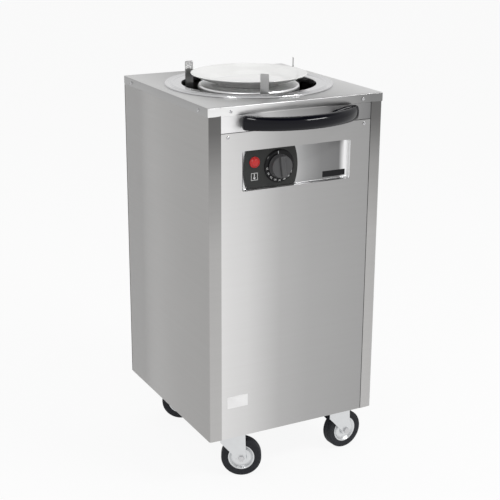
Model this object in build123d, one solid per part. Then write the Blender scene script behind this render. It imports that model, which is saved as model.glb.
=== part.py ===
from build123d import *
from math import asin, copysign, cos, pi, radians, sin
import os

# A mobile heated plate dispenser for one stack of plates, in millimetres.
# +Z is up, -Y is the front, and Z = 0 is the floor under the castors.
# Every function builds its piece about the axis of the plate well, and the
# whole is moved back by half the handle's reach when it is written.

# Cabinet
LID_WIDTH = 460.0
LID_DEPTH = 490.0
LID_TOP = 938.0
CASTOR_HEIGHT = 125.0
RIM_DROP = 22.0
LID_CORNER = 4.0
LID_EDGE = 1.8
SHEET = 1.2
BEND = 3.0
POST_WIDTH = 30.8
REAR_RETURN = 20.0
PANEL_GAP = 0.4
SEAM_DROP = 61.0
SEAM_GAP = 1.5
PANEL_FLANGE = 12.0
BACK_DROP = 23.0
JOGGLE_LAP = 10.0
TRAY_WALL = 25.0

# Front rail behind the seam
RAIL_TOP_DROP = 23.0
RAIL_BOTTOM_DROP = 88.0
RAIL_SHEET = 1.5
RAIL_LIP = 12.0
RAIL_END_GAP = 3.0

# Well and its ring
WELL_RADIUS = 165.0
LID_HOLE_RADIUS = 190.0
RING_RADIUS = 206.0
RING_HEIGHT = 3.4
RING_COLLAR = 12.0
RING_SHEET = 1.5
BEAD_RADIUS = 188.5
BEAD_WIDTH = 7.0
BEAD_RISE = 1.8

# Control recess, fascia, lamp and thermostat
RECESS_WIDTH = 288.0
RECESS_HEIGHT = 94.0
RECESS_DROP = 105.5
RECESS_DEPTH = 12.0
RECESS_CORNER = 5.0
RECESS_FLANGE = 8.0
FASCIA_X = -64.5
FASCIA_WIDTH = 124.0
FASCIA_BULGE = 8.0
FASCIA_HEIGHT = 90.0
FASCIA_THICK = 3.0
LAMP_X = -108.0
LAMP_DROP = 136.0
LAMP_RADIUS = 13.0
LAMP_RISE = 8.0
LAMP_BODY_RADIUS = 6.0
LAMP_BODY_LENGTH = 32.0
KNOB_X = -44.0
KNOB_DROP = 150.5
SKIRT_RADIUS = 39.0
SKIRT_THICK = 4.0
CAP_RADIUS = 28.0
CAP_TIP_RADIUS = 26.0
CAP_HEIGHT = 14.0
GRIP_WIDTH = 11.0
GRIP_RISE = 5.0
GRIP_INSET = 0.5
GRIP_LEAN = 8.0
KNOB_LIFT = 0.6
SHAFT_RADIUS = 3.0
SHAFT_IN_KNOB = 12.0
SHAFT_IN_BODY = 14.0
STAT_NECK_RADIUS = 4.5
STAT_WIDTH = 36.0
STAT_HEIGHT = 42.0
STAT_DEPTH = 28.0

# Handle
HANDLE_REACH = 83.0
HANDLE_SPAN = 304.0
HANDLE_DROP = 38.0
GRIP_HEIGHT = 28.0
GRIP_DEPTH = 24.0
HOOK_RADIUS = 15.0
HOOK_THICK = 10.0
FOOT_HEIGHT = 12.0
FOOT_INNER_X = 90.0
GRIP_TAPER = 3.4

# Plate, carrier and springs
LIFT_ABOVE_LID = 2.0
CARRIER_RADIUS = 125.0
CARRIER_SHEET = 1.5
CARRIER_EDGE = 5.0
CARRIER_SKIRT = 14.0
COLUMN_SIDE = 30.0
COLUMN_WALL = 2.0
COLUMN_LENGTH = 240.0
SPIDER_HUB_RADIUS = 30.0
ARM_WIDTH = 26.0
ARM_THICK = 4.0
ARM_REACH = 208.0
ARM_RIB_HEIGHT = 14.0
ARM_RIB_THICK = 3.0
ARM_RIB_REACH = 162.0
ARM_ANGLES = (-45.0, 75.0, 195.0)
ROD_RADIUS = 5.0
ROD_PITCH_RADIUS = 178.0
BUSH_RADIUS = 8.0
BUSH_FLANGE_RADIUS = 11.0
BUSH_FLANGE_THICK = 2.0
BUSH_LENGTH = 18.0
SPRING_PITCH_RADIUS = 200.0
SPRING_RADIUS = 7.5
SPRING_WIRE = 1.5
HOOK_WIRE = 1.4
HOOK_HOLE = 2.2
HOOK_BAR = 9.0
PLATE_RADIUS = 143.0
PLATE_HEIGHT = 26.0
PLATE_BASE_RADIUS = 84.0
PLATE_WELL_RADIUS = 88.0
PLATE_COVE_RADIUS = 104.0
PLATE_COVE_RISE = 9.0
PLATE_THICK = 4.5
PLATE_EDGE = 2.5

# Plate guides
GUIDE_ANGLES = {"front": -104.0, "right": 16.0, "left": 136.0}
GUIDE_PITCH_RADIUS = 154.5
GUIDE_TURN = 42.0
GUIDE_WIDTH = 22.0
GUIDE_THICK = 2.0
GUIDE_ABOVE_LID = 48.0
GUIDE_CORNER = 3.0
GUIDE_ROD_RADIUS = 4.0
GUIDE_PIN_RADIUS = 3.0
GUIDE_ROD_TOP_DROP = 14.0
NOTCH_WIDTH = 9.5
NOTCH_MARGIN = 3.0

# Brackets under the lid
BRACKET_SHEET = 3.0
BRACKET_SHELF_DROP = 23.0
GUIDE_LUG_WIDTH = 14.0
GUIDE_RISER_RADIUS = 184.0
ROD_BRACKET_WIDTH = 30.0
ROD_RISER_RADIUS = 212.0
BRACKET_FOOT = 14.0
SHELF_OVERHANG = 10.0

# Cage base and heater
DECK_SIDE = 390.0
DECK_HEIGHT = 60.0
DECK_SHEET = 2.0
DECK_FOOT = 20.0
DECK_LEG_WIDTH = 240.0
VENT_RADIUS = 95.0
HEATER_TUBE_RADIUS = 4.0
HEATER_SPACING = 80.0
HEATER_LENGTH = 240.0
HEATER_LIFT = 24.0
HEATER_PIN_RADIUS = 2.0
HEATER_PIN_LENGTH = 14.0
CLIP_WIDTH = 16.0
CLIP_SHEET = 1.5
CLIP_X = 80.0
TERMINAL_LENGTH = 56.0
TERMINAL_DEPTH = 22.0
TERMINAL_HEIGHT = 18.0
TERMINAL_SIDE_INSET = 80.0
TERMINAL_BACK_INSET = 50.0
GLAND_SIDE_INSET = 170.0
GLAND_BACK_INSET = 40.0
GLAND_BORE_RADIUS = 5.0
GLAND_BODY_RADIUS = 8.0
GLAND_HEX_SIDE = 11.0
GLAND_HEX_HEIGHT = 6.0
GLAND_DROP = 10.0
GLAND_RISE = 12.0

# Castors
CASTOR_SIDE_INSET = 80.0
CASTOR_FRONT_INSET = 55.0
CASTOR_REAR_INSET = 73.0
CASTOR_HEADINGS = {"fl": -27.3, "fr": 5.0, "rl": -27.3, "rr": -20.0}
WHEEL_RADIUS = 50.0
TREAD_WIDTH = 22.0
TYRE_WIDTH = 30.0
SHOULDER_DROP = 5.0
RIM_RADIUS = 34.0
RIM_WIDTH = 25.0
HUB_RADIUS = 12.0
HUB_WIDTH = 34.0
DISH_RADIUS = 17.0
DISH_WIDTH = 14.0
TRAIL = 30.0
AXLE_RADIUS = 5.0
AXLE_HEAD_RADIUS = 8.0
AXLE_HEAD_THICK = 4.5
FORK_GAP = 36.0
FORK_SHEET = 2.5
CROWN_DROP = 9.5
CROWN_THICK = 3.2
FORK_FRONT = 22.0
FORK_REAR = 40.0
FORK_SHOULDER = 22.0
FORK_END_RADIUS = 12.0
TOP_PLATE_LENGTH = 100.0
TOP_PLATE_WIDTH = 84.0
TOP_PLATE_THICK = 3.0
RACE_RADIUS = 23.0
KINGPIN_RADIUS = 6.0
KINGPIN_HEAD_RADIUS = 10.0
KINGPIN_HEAD_THICK = 3.0
SWIVEL_GAP = 0.5
BOLT_SPACING_X = 80.0
BOLT_SPACING_Y = 60.0
BOLT_RADIUS = 4.0
BOLT_HEAD_RADIUS = 7.0
BOLT_HEAD_THICK = 4.5
BOLT_LENGTH = 14.0

# Small screws and fits
SCREW_RADIUS = 2.0
SCREW_HEAD_RADIUS = 4.0
SCREW_HEAD_THICK = 2.2
SCREW_LENGTH = 8.0
SCREW_HOLE_PLAY = 0.3
RIM_SCREW_DROP = 12.0
RIM_SCREW_FRONT_INSET = 56.0
RIM_SCREW_SIDE_INSET = 49.0
PANEL_SCREW_INSET = 50.0
PANEL_SCREW_DROP = 71.0
HANDLE_SCREW_X = 97.0
HANDLE_SCREW_RADIUS = 2.5
HANDLE_SCREW_HEAD = 5.0
HANDLE_SCREW_HEAD_THICK = 3.0
HANDLE_SCREW_LENGTH = 20.0
RUNNING_PLAY = 0.05
END_FLOAT = 0.4

# Flats that round forms are made of
SMALL_ROUND = 4.5
MIDDLE_ROUND = 16.0
BROAD_ROUND = 60.0
SMALL_SIDES = 8
MIDDLE_SIDES = 12
BROAD_SIDES = 24
ROUND_SIDES = 32
WELL_SIDES = 48
GRIP_SIDES = 12
GRIP_SQUARENESS = 0.6
BOW_STEPS = 9
HOOK_STEPS = 6

# Places that follow from the sizes above
PANEL_X = LID_WIDTH / 2 - SHEET
PANEL_Y = LID_DEPTH / 2 - SHEET
INNER_X = PANEL_X - SHEET
INNER_Y = PANEL_Y - SHEET
LID_UNDER = LID_TOP - SHEET
FRONT_HALF = PANEL_X - POST_WIDTH - PANEL_GAP
TRAY_FLOOR = CASTOR_HEIGHT + SHEET
SEAM_Z = LID_TOP - SEAM_DROP
RECESS_Z = LID_TOP - RECESS_DROP - RECESS_HEIGHT / 2
RECESS_FLOOR_Y = -PANEL_Y + RECESS_DEPTH
FASCIA_FACE_Y = RECESS_FLOOR_Y - FASCIA_THICK
KNOB_Z = LID_TOP - KNOB_DROP
LAMP_Z = LID_TOP - LAMP_DROP
HANDLE_Z = LID_TOP - HANDLE_DROP
CARRIER_TOP = LID_TOP + LIFT_ABOVE_LID
SPIDER_TOP = CARRIER_TOP - CARRIER_SHEET - COLUMN_LENGTH
SPIDER_BOTTOM = SPIDER_TOP - ARM_THICK
SHELF_BOTTOM = LID_TOP - BRACKET_SHELF_DROP
SHELF_TOP = SHELF_BOTTOM + BRACKET_SHEET
DECK_TOP = TRAY_FLOOR + DECK_HEIGHT
GUIDE_ROD_TOP = LID_TOP - GUIDE_ROD_TOP_DROP
GUIDE_PIVOT_X = GUIDE_PITCH_RADIUS + GUIDE_WIDTH / 2 * sin(radians(GUIDE_TURN))
GUIDE_PIVOT_Y = GUIDE_WIDTH / 2 * cos(radians(GUIDE_TURN))
CASTOR_X = LID_WIDTH / 2 - CASTOR_SIDE_INSET
CASTOR_FRONT_Y = LID_DEPTH / 2 - CASTOR_FRONT_INSET
CASTOR_REAR_Y = LID_DEPTH / 2 - CASTOR_REAR_INSET
GLAND_X = GLAND_SIDE_INSET - LID_WIDTH / 2
GLAND_Y = LID_DEPTH / 2 - GLAND_BACK_INSET
TERMINAL_X = TERMINAL_SIDE_INSET - LID_WIDTH / 2
TERMINAL_Y = LID_DEPTH / 2 - TERMINAL_BACK_INSET
RIM_SCREW_FRONT_X = LID_WIDTH / 2 - RIM_SCREW_FRONT_INSET
RIM_SCREW_SIDE_Y = LID_DEPTH / 2 - RIM_SCREW_SIDE_INSET
PANEL_SCREW_X = LID_WIDTH / 2 - PANEL_SCREW_INSET
CROWN_TOP = CASTOR_HEIGHT - CROWN_DROP
CROWN_BOTTOM = CROWN_TOP - CROWN_THICK
WELL_TO_MIDDLE = HANDLE_REACH / 2


def block(x0, x1, y0, y1, z0, z1):
    """A box between two corners."""
    return Pos((x0 + x1) / 2, (y0 + y1) / 2, (z0 + z1) / 2) * Box(x1 - x0, y1 - y0, z1 - z0)


def sides_of(radius):
    """How many flats a round form of this radius has."""
    if radius < SMALL_ROUND:
        return SMALL_SIDES
    if radius < MIDDLE_ROUND:
        return MIDDLE_SIDES
    return BROAD_SIDES if radius < BROAD_ROUND else WELL_SIDES


def bar(radius, length, around=False):
    """A many-sided bar from Z = 0, inside the radius or, for a hole, around it."""
    return extrude(RegularPolygon(radius, sides_of(radius), major_radius=not around), length)


def post(radius, z0, z1, x=0.0, y=0.0, around=False):
    """An upright bar."""
    return Pos(x, y, z0) * bar(radius, z1 - z0, around)


def front_bar(radius, y0, y1, x, z, around=False):
    """A bar that runs from front to back."""
    return Pos(x, y0, z) * Rot(-90, 0, 0) * bar(radius, y1 - y0, around)


def side_bar(radius, x0, x1, y, z):
    """A bar that runs from left to right."""
    return Pos(x0, y, z) * Rot(0, 90, 0) * bar(radius, x1 - x0)


def turned(points, sides, around=False):
    """A many-sided solid about Z from a closed profile of radius and height."""
    grow = 1 / cos(pi / sides) if around else 1.0
    turns = [2 * pi * (i + 0.5) / sides for i in range(sides + 1)]

    def corner(point, turn):
        return point[0] * grow * cos(turn), point[0] * grow * sin(turn), point[1]

    faces = []
    for low, high in zip(points, points[1:] + points[:1]):
        if low[0] == high[0] == 0:
            continue
        if low[1] == high[1] and 0 in (low[0], high[0]):
            rim = high if low[0] == 0 else low
            faces.append(make_face(Polyline(*[corner(rim, turn) for turn in turns[:-1]], close=True)))
            continue
        for start, end in zip(turns, turns[1:]):
            ends = [corner(low, start), corner(low, end), corner(high, end), corner(high, start)]
            faces.append(make_face(Polyline(*dict.fromkeys(ends), close=True)))
    return Solid(Shell(faces))


def at_polar(radius, angle):
    """A place on a circle about the well, turned to face outwards."""
    return Rot(0, 0, angle) * Pos(radius, 0, 0)


def mirrored(shape):
    """The shape and its mirror image across the middle."""
    return [shape, mirror(shape, Plane.YZ)]


def top_cover():
    """Pan with a turned-down rim and a round hole for the well."""
    outer = block(-LID_WIDTH / 2, LID_WIDTH / 2, -LID_DEPTH / 2, LID_DEPTH / 2,
                  LID_TOP - RIM_DROP, LID_TOP)
    outer = fillet(outer.edges().filter_by(Axis.Z), LID_CORNER)
    outer = chamfer(outer.faces().sort_by(Axis.Z)[-1].edges(), LID_EDGE)
    inner = block(-PANEL_X, PANEL_X, -PANEL_Y, PANEL_Y, LID_TOP - RIM_DROP - SHEET, LID_UNDER)
    inner = fillet(inner.edges().filter_by(Axis.Z), LID_CORNER - SHEET)
    cover = outer - inner - post(LID_HOLE_RADIUS, LID_TOP - RIM_DROP, LID_TOP + SHEET)
    for hole in rim_screw_holes():
        cover -= hole
    return cover


def rim_screw_places():
    """Place and outward direction of each screw through the rim."""
    z = LID_TOP - RIM_SCREW_DROP
    places = [((side * RIM_SCREW_FRONT_X, -LID_DEPTH / 2, z), 0.0) for side in (-1, 1)]
    for side, turn in ((-1, -90.0), (1, 90.0)):
        for end in (-1, 1):
            places.append(((side * LID_WIDTH / 2, end * RIM_SCREW_SIDE_Y, z), turn))
    return places


def rim_screw_holes():
    """Clearance holes for the rim screws, through the rim and the panel."""
    hole = front_bar(SCREW_RADIUS + SCREW_HOLE_PLAY, -SHEET, SCREW_LENGTH, 0, 0, around=True)
    return [Pos(*place) * Rot(0, 0, turn) * hole for place, turn in rim_screw_places()]


def pan_screw(radius, head_radius, head_thick, length):
    """A screw whose head bears on Y = 0 and whose shank runs to +Y."""
    head = Rot(90, 0, 0) * extrude(RegularPolygon(head_radius, MIDDLE_SIDES), head_thick)
    head = chamfer(head.faces().sort_by(Axis.Y)[0].edges(), head_thick / 3)
    shank = Rot(-90, 0, 0) * bar(radius, length)
    return head + shank


def rim_screws():
    """Screws through the rim: two in front and two on each side."""
    screw = pan_screw(SCREW_RADIUS, SCREW_HEAD_RADIUS, SCREW_HEAD_THICK, SCREW_LENGTH)
    return [Pos(*place) * Rot(0, 0, turn) * screw for place, turn in rim_screw_places()]


def well_ring():
    """Spun ring round the well, with a collar, a bead and a rolled edge."""
    top = LID_TOP + RING_HEIGHT
    low = LID_TOP - RING_COLLAR
    return turned([
        (WELL_RADIUS, low), (WELL_RADIUS, top), (BEAD_RADIUS - BEAD_WIDTH / 2, top),
        (BEAD_RADIUS, top + BEAD_RISE), (BEAD_RADIUS + BEAD_WIDTH / 2, top - BEAD_RISE / 2),
        (RING_RADIUS - RING_HEIGHT / 2, top + BEAD_RISE / 2), (RING_RADIUS, top - RING_HEIGHT / 2),
        (RING_RADIUS, LID_TOP), (WELL_RADIUS + RING_SHEET, LID_TOP), (WELL_RADIUS + RING_SHEET, low),
    ], WELL_SIDES)


def side_panel():
    """Right side panel, wrapped round the front corner and the rear corner."""
    height = LID_UNDER - CASTOR_HEIGHT
    outer = RectangleRounded(2 * PANEL_X, 2 * PANEL_Y, BEND)
    inner = RectangleRounded(2 * INNER_X, 2 * INNER_Y, BEND - SHEET)
    wall = Pos(0, 0, CASTOR_HEIGHT) * extrude(outer - inner, height)
    front = block(PANEL_X - POST_WIDTH, PANEL_X, -PANEL_Y, 0, CASTOR_HEIGHT, LID_UNDER)
    rear = block(PANEL_X - REAR_RETURN, PANEL_X, 0, PANEL_Y, CASTOR_HEIGHT, LID_UNDER)
    panel = wall & (front + rear)
    for hole in rim_screw_holes():
        panel -= hole
    return panel


def back_panel():
    """Back panel over the rear returns, with a lap that tucks inside the rim."""
    top = LID_TOP - BACK_DROP
    sheet = block(-PANEL_X, PANEL_X, PANEL_Y, PANEL_Y + SHEET, CASTOR_HEIGHT, top)
    half = PANEL_X - REAR_RETURN - PANEL_GAP
    lap = block(-half, half, INNER_Y, PANEL_Y, top - JOGGLE_LAP, LID_UNDER)
    return sheet + lap


def base_tray():
    """Bottom pan that carries the cage and the castors."""
    outer = block(-INNER_X, INNER_X, -INNER_Y, INNER_Y, CASTOR_HEIGHT, CASTOR_HEIGHT + TRAY_WALL)
    outer = chamfer(outer.edges().filter_by(Axis.Z), BEND)
    inner = block(-INNER_X + SHEET, INNER_X - SHEET, -INNER_Y + SHEET, INNER_Y - SHEET,
                  TRAY_FLOOR, CASTOR_HEIGHT + TRAY_WALL + SHEET)
    inner = chamfer(inner.edges().filter_by(Axis.Z), BEND - SHEET)
    tray = outer - inner
    tray -= post(GLAND_BODY_RADIUS, CASTOR_HEIGHT - SHEET, TRAY_FLOOR + SHEET, GLAND_X, GLAND_Y)
    for x, y in castor_bolt_places():
        tray -= post(BOLT_RADIUS, CASTOR_HEIGHT - SHEET, TRAY_FLOOR + SHEET, x, y)
    return tray


def front_apron():
    """Strip under the lid's front rim that carries the handle."""
    apron = block(-FRONT_HALF, FRONT_HALF, -PANEL_Y, -INNER_Y, SEAM_Z + SEAM_GAP / 2, LID_UNDER)
    for hole in rim_screw_holes() + handle_screw_holes():
        apron -= hole
    return apron


def front_rail():
    """Channel behind the seam, which the apron, panel and handle screw into."""
    half = INNER_X - RAIL_END_GAP
    top = LID_TOP - RAIL_TOP_DROP
    low = LID_TOP - RAIL_BOTTOM_DROP
    face_y = -INNER_Y + RAIL_SHEET
    rail = block(-half, half, -INNER_Y, face_y, low, top)
    rail += block(-half, half, face_y, face_y + RAIL_LIP, top - RAIL_SHEET, top)
    rail += block(-half, half, face_y, face_y + RAIL_LIP, low, low + RAIL_SHEET)
    for hole in panel_screw_holes() + handle_screw_holes():
        rail -= hole
    return rail


def panel_screw_holes():
    """Holes for the two screws at the top of the service panel."""
    hole = front_bar(SCREW_RADIUS + SCREW_HOLE_PLAY, -PANEL_Y - SHEET, -PANEL_Y + SCREW_LENGTH,
                     PANEL_SCREW_X, LID_TOP - PANEL_SCREW_DROP, around=True)
    return mirrored(hole)


def handle_screw_holes():
    """Holes for the two handle screws."""
    hole = front_bar(HANDLE_SCREW_RADIUS + SCREW_HOLE_PLAY, -PANEL_Y - HOOK_THICK - SHEET,
                     -PANEL_Y + HANDLE_SCREW_LENGTH, HANDLE_SCREW_X, HANDLE_Z, around=True)
    return mirrored(hole)


def front_panel():
    """Service panel with folded sides and a cut-out for the control recess."""
    top = SEAM_Z - SEAM_GAP / 2
    panel = block(-FRONT_HALF, FRONT_HALF, -PANEL_Y, -INNER_Y, CASTOR_HEIGHT, top)
    flange_low = CASTOR_HEIGHT + TRAY_WALL + BEND
    flange_top = LID_TOP - RAIL_BOTTOM_DROP - BEND
    flange = block(FRONT_HALF - SHEET, FRONT_HALF, -INNER_Y, -INNER_Y + PANEL_FLANGE,
                   flange_low, flange_top)
    for side in mirrored(flange):
        panel += side
    opening = Pos(0, -PANEL_Y, RECESS_Z) * Rot(90, 0, 0) * extrude(
        RectangleRounded(RECESS_WIDTH, RECESS_HEIGHT, RECESS_CORNER), 2 * SHEET, both=True)
    panel -= opening
    for hole in panel_screw_holes():
        panel -= hole
    return panel


def recess_block(grow, y0, y1):
    """Rounded block as wide and high as the recess, grown all round."""
    outline = RectangleRounded(RECESS_WIDTH + 2 * grow, RECESS_HEIGHT + 2 * grow, RECESS_CORNER + grow)
    return Pos(0, y1, RECESS_Z) * Rot(90, 0, 0) * extrude(outline, y1 - y0)


def control_recess():
    """Pressed pan behind the panel's cut-out."""
    pan = recess_block(RECESS_FLANGE, -INNER_Y, -INNER_Y + SHEET)
    pan += recess_block(SHEET, -INNER_Y, RECESS_FLOOR_Y + SHEET)
    pan -= recess_block(0.0, -INNER_Y - SHEET, RECESS_FLOOR_Y)
    pan -= lamp_hole()
    pan -= stat_hole()
    return pan


def lamp_hole():
    """Hole for the lamp's body through the fascia and the recess."""
    return front_bar(LAMP_BODY_RADIUS, FASCIA_FACE_Y - SHEET, RECESS_FLOOR_Y + 2 * SHEET, LAMP_X, LAMP_Z)


def stat_hole():
    """Hole for the thermostat's neck through the fascia and the recess."""
    return front_bar(STAT_NECK_RADIUS, FASCIA_FACE_Y - SHEET, RECESS_FLOOR_Y + 2 * SHEET, KNOB_X, KNOB_Z)


def control_fascia():
    """Barrel-shaped plate: straight above and below, bulged at both sides."""
    w, h, bulge = FASCIA_WIDTH / 2, FASCIA_HEIGHT / 2, FASCIA_BULGE
    outline = make_face([
        Line((-w, -h), (w, -h)), ThreePointArc((w, -h), (w + bulge, 0), (w, h)),
        Line((w, h), (-w, h)), ThreePointArc((-w, h), (-w - bulge, 0), (-w, -h)),
    ])
    plate = Pos(FASCIA_X, RECESS_FLOOR_Y, RECESS_Z) * Rot(90, 0, 0) * extrude(outline, FASCIA_THICK)
    return plate - lamp_hole() - stat_hole()


def lamp_lens():
    """Domed red lens on the fascia."""
    collar = LAMP_RISE * 0.4
    dome = turned([
        (0, 0), (LAMP_RADIUS, 0), (LAMP_RADIUS, collar),
        (LAMP_RADIUS * 0.7, LAMP_RISE), (0, LAMP_RISE),
    ], BROAD_SIDES)
    return Pos(LAMP_X, FASCIA_FACE_Y, LAMP_Z) * Rot(90, 0, 0) * dome


def lamp_body():
    """Lamp holder that runs back from the lens through the recess."""
    return front_bar(LAMP_BODY_RADIUS, FASCIA_FACE_Y, FASCIA_FACE_Y + LAMP_BODY_LENGTH, LAMP_X, LAMP_Z)


def thermostat_body():
    """Capillary thermostat behind the recess, with a neck for its shaft."""
    back = RECESS_FLOOR_Y + SHEET
    body = block(KNOB_X - STAT_WIDTH / 2, KNOB_X + STAT_WIDTH / 2, back, back + STAT_DEPTH,
                 KNOB_Z - STAT_HEIGHT / 2, KNOB_Z + STAT_HEIGHT / 2)
    body += front_bar(STAT_NECK_RADIUS, FASCIA_FACE_Y, back, KNOB_X, KNOB_Z)
    return body - front_bar(SHAFT_RADIUS + RUNNING_PLAY, FASCIA_FACE_Y - SHEET,
                            FASCIA_FACE_Y + SHAFT_IN_BODY + END_FLOAT, KNOB_X, KNOB_Z, around=True)


def thermostat_shaft():
    """Shaft that the dial is pushed on to."""
    return front_bar(SHAFT_RADIUS, FASCIA_FACE_Y - KNOB_LIFT - SHAFT_IN_KNOB,
                     FASCIA_FACE_Y + SHAFT_IN_BODY, KNOB_X, KNOB_Z)


def control_knob():
    """Dial: a flat skirt for the numbers, a cap and a raised grip bar."""
    cap_top = SKIRT_THICK + CAP_HEIGHT
    body = turned([
        (0, 0), (SKIRT_RADIUS, 0), (SKIRT_RADIUS - SKIRT_THICK / 2, SKIRT_THICK),
        (CAP_RADIUS, SKIRT_THICK), (CAP_TIP_RADIUS, cap_top), (0, cap_top),
    ], ROUND_SIDES)
    reach = CAP_TIP_RADIUS - GRIP_INSET
    grip = block(-GRIP_WIDTH / 2, GRIP_WIDTH / 2, -reach, reach, SKIRT_THICK, cap_top + GRIP_RISE)
    grip = chamfer(grip.edges().filter_by(Axis.Z), GRIP_WIDTH / 4)
    body += Rot(0, 0, GRIP_LEAN) * grip
    body -= Pos(0, 0, -SHAFT_IN_KNOB) * bar(SHAFT_RADIUS, 2 * SHAFT_IN_KNOB)
    return Pos(KNOB_X, FASCIA_FACE_Y - KNOB_LIFT, KNOB_Z) * Rot(90, 0, 0) * body


def bow_stations():
    """Place, heading, thickness and height of the handle's sections, middle to foot."""
    bend = HOOK_RADIUS - HOOK_THICK / 2
    turn_x = HANDLE_SPAN / 2 - HOOK_RADIUS
    turn_y = HOOK_RADIUS
    middle_y = HANDLE_REACH + SHEET - GRIP_DEPTH / 2
    rise = middle_y - turn_y
    radius = (turn_x ** 2 + rise ** 2 - bend ** 2) / (2 * (rise - bend))
    leave = asin(turn_x / (radius - bend))
    stations = []
    for step in range(BOW_STEPS + 1):
        share = step / BOW_STEPS
        turn = leave * share
        stations.append((radius * sin(turn), middle_y - radius + radius * cos(turn), turn,
                         GRIP_DEPTH + (HOOK_THICK - GRIP_DEPTH) * share ** GRIP_TAPER,
                         GRIP_HEIGHT + (FOOT_HEIGHT - GRIP_HEIGHT) * share ** GRIP_TAPER))
    for step in range(1, HOOK_STEPS + 1):
        turn = leave + (pi - leave) * step / HOOK_STEPS
        stations.append((turn_x + bend * sin(turn), turn_y + bend * cos(turn), turn,
                         HOOK_THICK, FOOT_HEIGHT))
    stations.append((FOOT_INNER_X, HOOK_THICK / 2, pi, HOOK_THICK, FOOT_HEIGHT))
    return stations


def bow_section(station):
    """Corners of the handle's rounded section at one station."""
    x, y, turn, thick, tall = station
    steps = [pi / GRIP_SIDES * (2 * i + 1) for i in range(GRIP_SIDES)]
    widest = cos(steps[0]) ** GRIP_SQUARENESS
    corners = []
    for step in steps:
        out, up = (copysign(abs(f) ** GRIP_SQUARENESS, f) / widest / 2 for f in (cos(step), sin(step)))
        corners.append((x + out * thick * sin(turn), -y - out * thick * cos(turn), up * tall))
    return corners


def push_handle():
    """Bow handle whose ends hook back to the apron and turn inwards as feet."""
    right = [bow_section(station) for station in bow_stations()]
    left = [[(-x, y, z) for x, y, z in section] for section in right[:0:-1]]
    rings = left + right
    faces = [make_face(Polyline(*ring, close=True)) for ring in (rings[0], rings[-1])]
    for near, far in zip(rings, rings[1:]):
        for i in range(GRIP_SIDES):
            j = (i + 1) % GRIP_SIDES
            faces.append(make_face(Polyline(near[i], near[j], far[j], close=True)))
            faces.append(make_face(Polyline(near[i], far[j], far[i], close=True)))
    bow = Pos(0, -PANEL_Y, HANDLE_Z) * Solid(Shell(faces))
    for hole in handle_screw_holes():
        bow -= hole
    return bow


def handle_screws():
    """Screws through the handle's feet, the apron and the rail."""
    screw = pan_screw(HANDLE_SCREW_RADIUS, HANDLE_SCREW_HEAD, HANDLE_SCREW_HEAD_THICK,
                      HANDLE_SCREW_LENGTH)
    return mirrored(Pos(HANDLE_SCREW_X, -PANEL_Y - HOOK_THICK, HANDLE_Z) * screw)


def panel_screws():
    """Screws at the top of the service panel."""
    screw = pan_screw(SCREW_RADIUS, SCREW_HEAD_RADIUS, SCREW_HEAD_THICK, SCREW_LENGTH)
    return mirrored(Pos(PANEL_SCREW_X, -PANEL_Y, LID_TOP - PANEL_SCREW_DROP) * screw)


def cage_base():
    """Bent deck on two legs that carries the rods and the guides."""
    half = DECK_SIDE / 2
    deck = block(-half, half, -half, half, DECK_TOP - DECK_SHEET, DECK_TOP)
    w = DECK_LEG_WIDTH / 2
    leg = block(half - DECK_SHEET, half, -w, w, TRAY_FLOOR, DECK_TOP)
    foot = block(half - DECK_FOOT, half, -w, w, TRAY_FLOOR, TRAY_FLOOR + DECK_SHEET)
    for side in mirrored(leg + foot):
        deck += side
    deck -= post(VENT_RADIUS, TRAY_FLOOR + DECK_SHEET, DECK_TOP + DECK_SHEET)
    for angle in ARM_ANGLES:
        rod_hole = post(ROD_RADIUS, DECK_TOP - 2 * DECK_SHEET, DECK_TOP + DECK_SHEET)
        deck -= at_polar(ROD_PITCH_RADIUS, angle) * rod_hole
    pin_hole = post(GUIDE_PIN_RADIUS + RUNNING_PLAY, DECK_TOP - 2 * DECK_SHEET, DECK_TOP + DECK_SHEET,
                    GUIDE_PIVOT_X, GUIDE_PIVOT_Y, around=True)
    for angle in GUIDE_ANGLES.values():
        deck -= Rot(0, 0, angle) * pin_hole
    return deck


def lift_rods():
    """Three rods that the carrier's bushes slide on."""
    rod = post(ROD_RADIUS, DECK_TOP - DECK_SHEET, SHELF_TOP)
    return [at_polar(ROD_PITCH_RADIUS, angle) * rod for angle in ARM_ANGLES]


def rod_brackets():
    """Brackets under the lid that hold the rods' tops and the springs."""
    w = ROD_BRACKET_WIDTH / 2
    inner = ROD_PITCH_RADIUS - SHELF_OVERHANG
    bracket = block(inner, ROD_RISER_RADIUS, -w, w, SHELF_BOTTOM, SHELF_TOP)
    bracket += block(ROD_RISER_RADIUS - BRACKET_SHEET, ROD_RISER_RADIUS, -w, w,
                     SHELF_BOTTOM, LID_UNDER)
    bracket += block(ROD_RISER_RADIUS - BRACKET_SHEET, ROD_RISER_RADIUS + BRACKET_FOOT, -w, w,
                     LID_UNDER - BRACKET_SHEET, LID_UNDER)
    bracket -= post(ROD_RADIUS, SHELF_BOTTOM - SHEET, SHELF_TOP + SHEET, ROD_PITCH_RADIUS)
    bracket -= post(HOOK_HOLE, SHELF_BOTTOM - SHEET, SHELF_TOP + SHEET, SPRING_PITCH_RADIUS)
    return [Rot(0, 0, angle) * bracket for angle in ARM_ANGLES]


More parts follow.
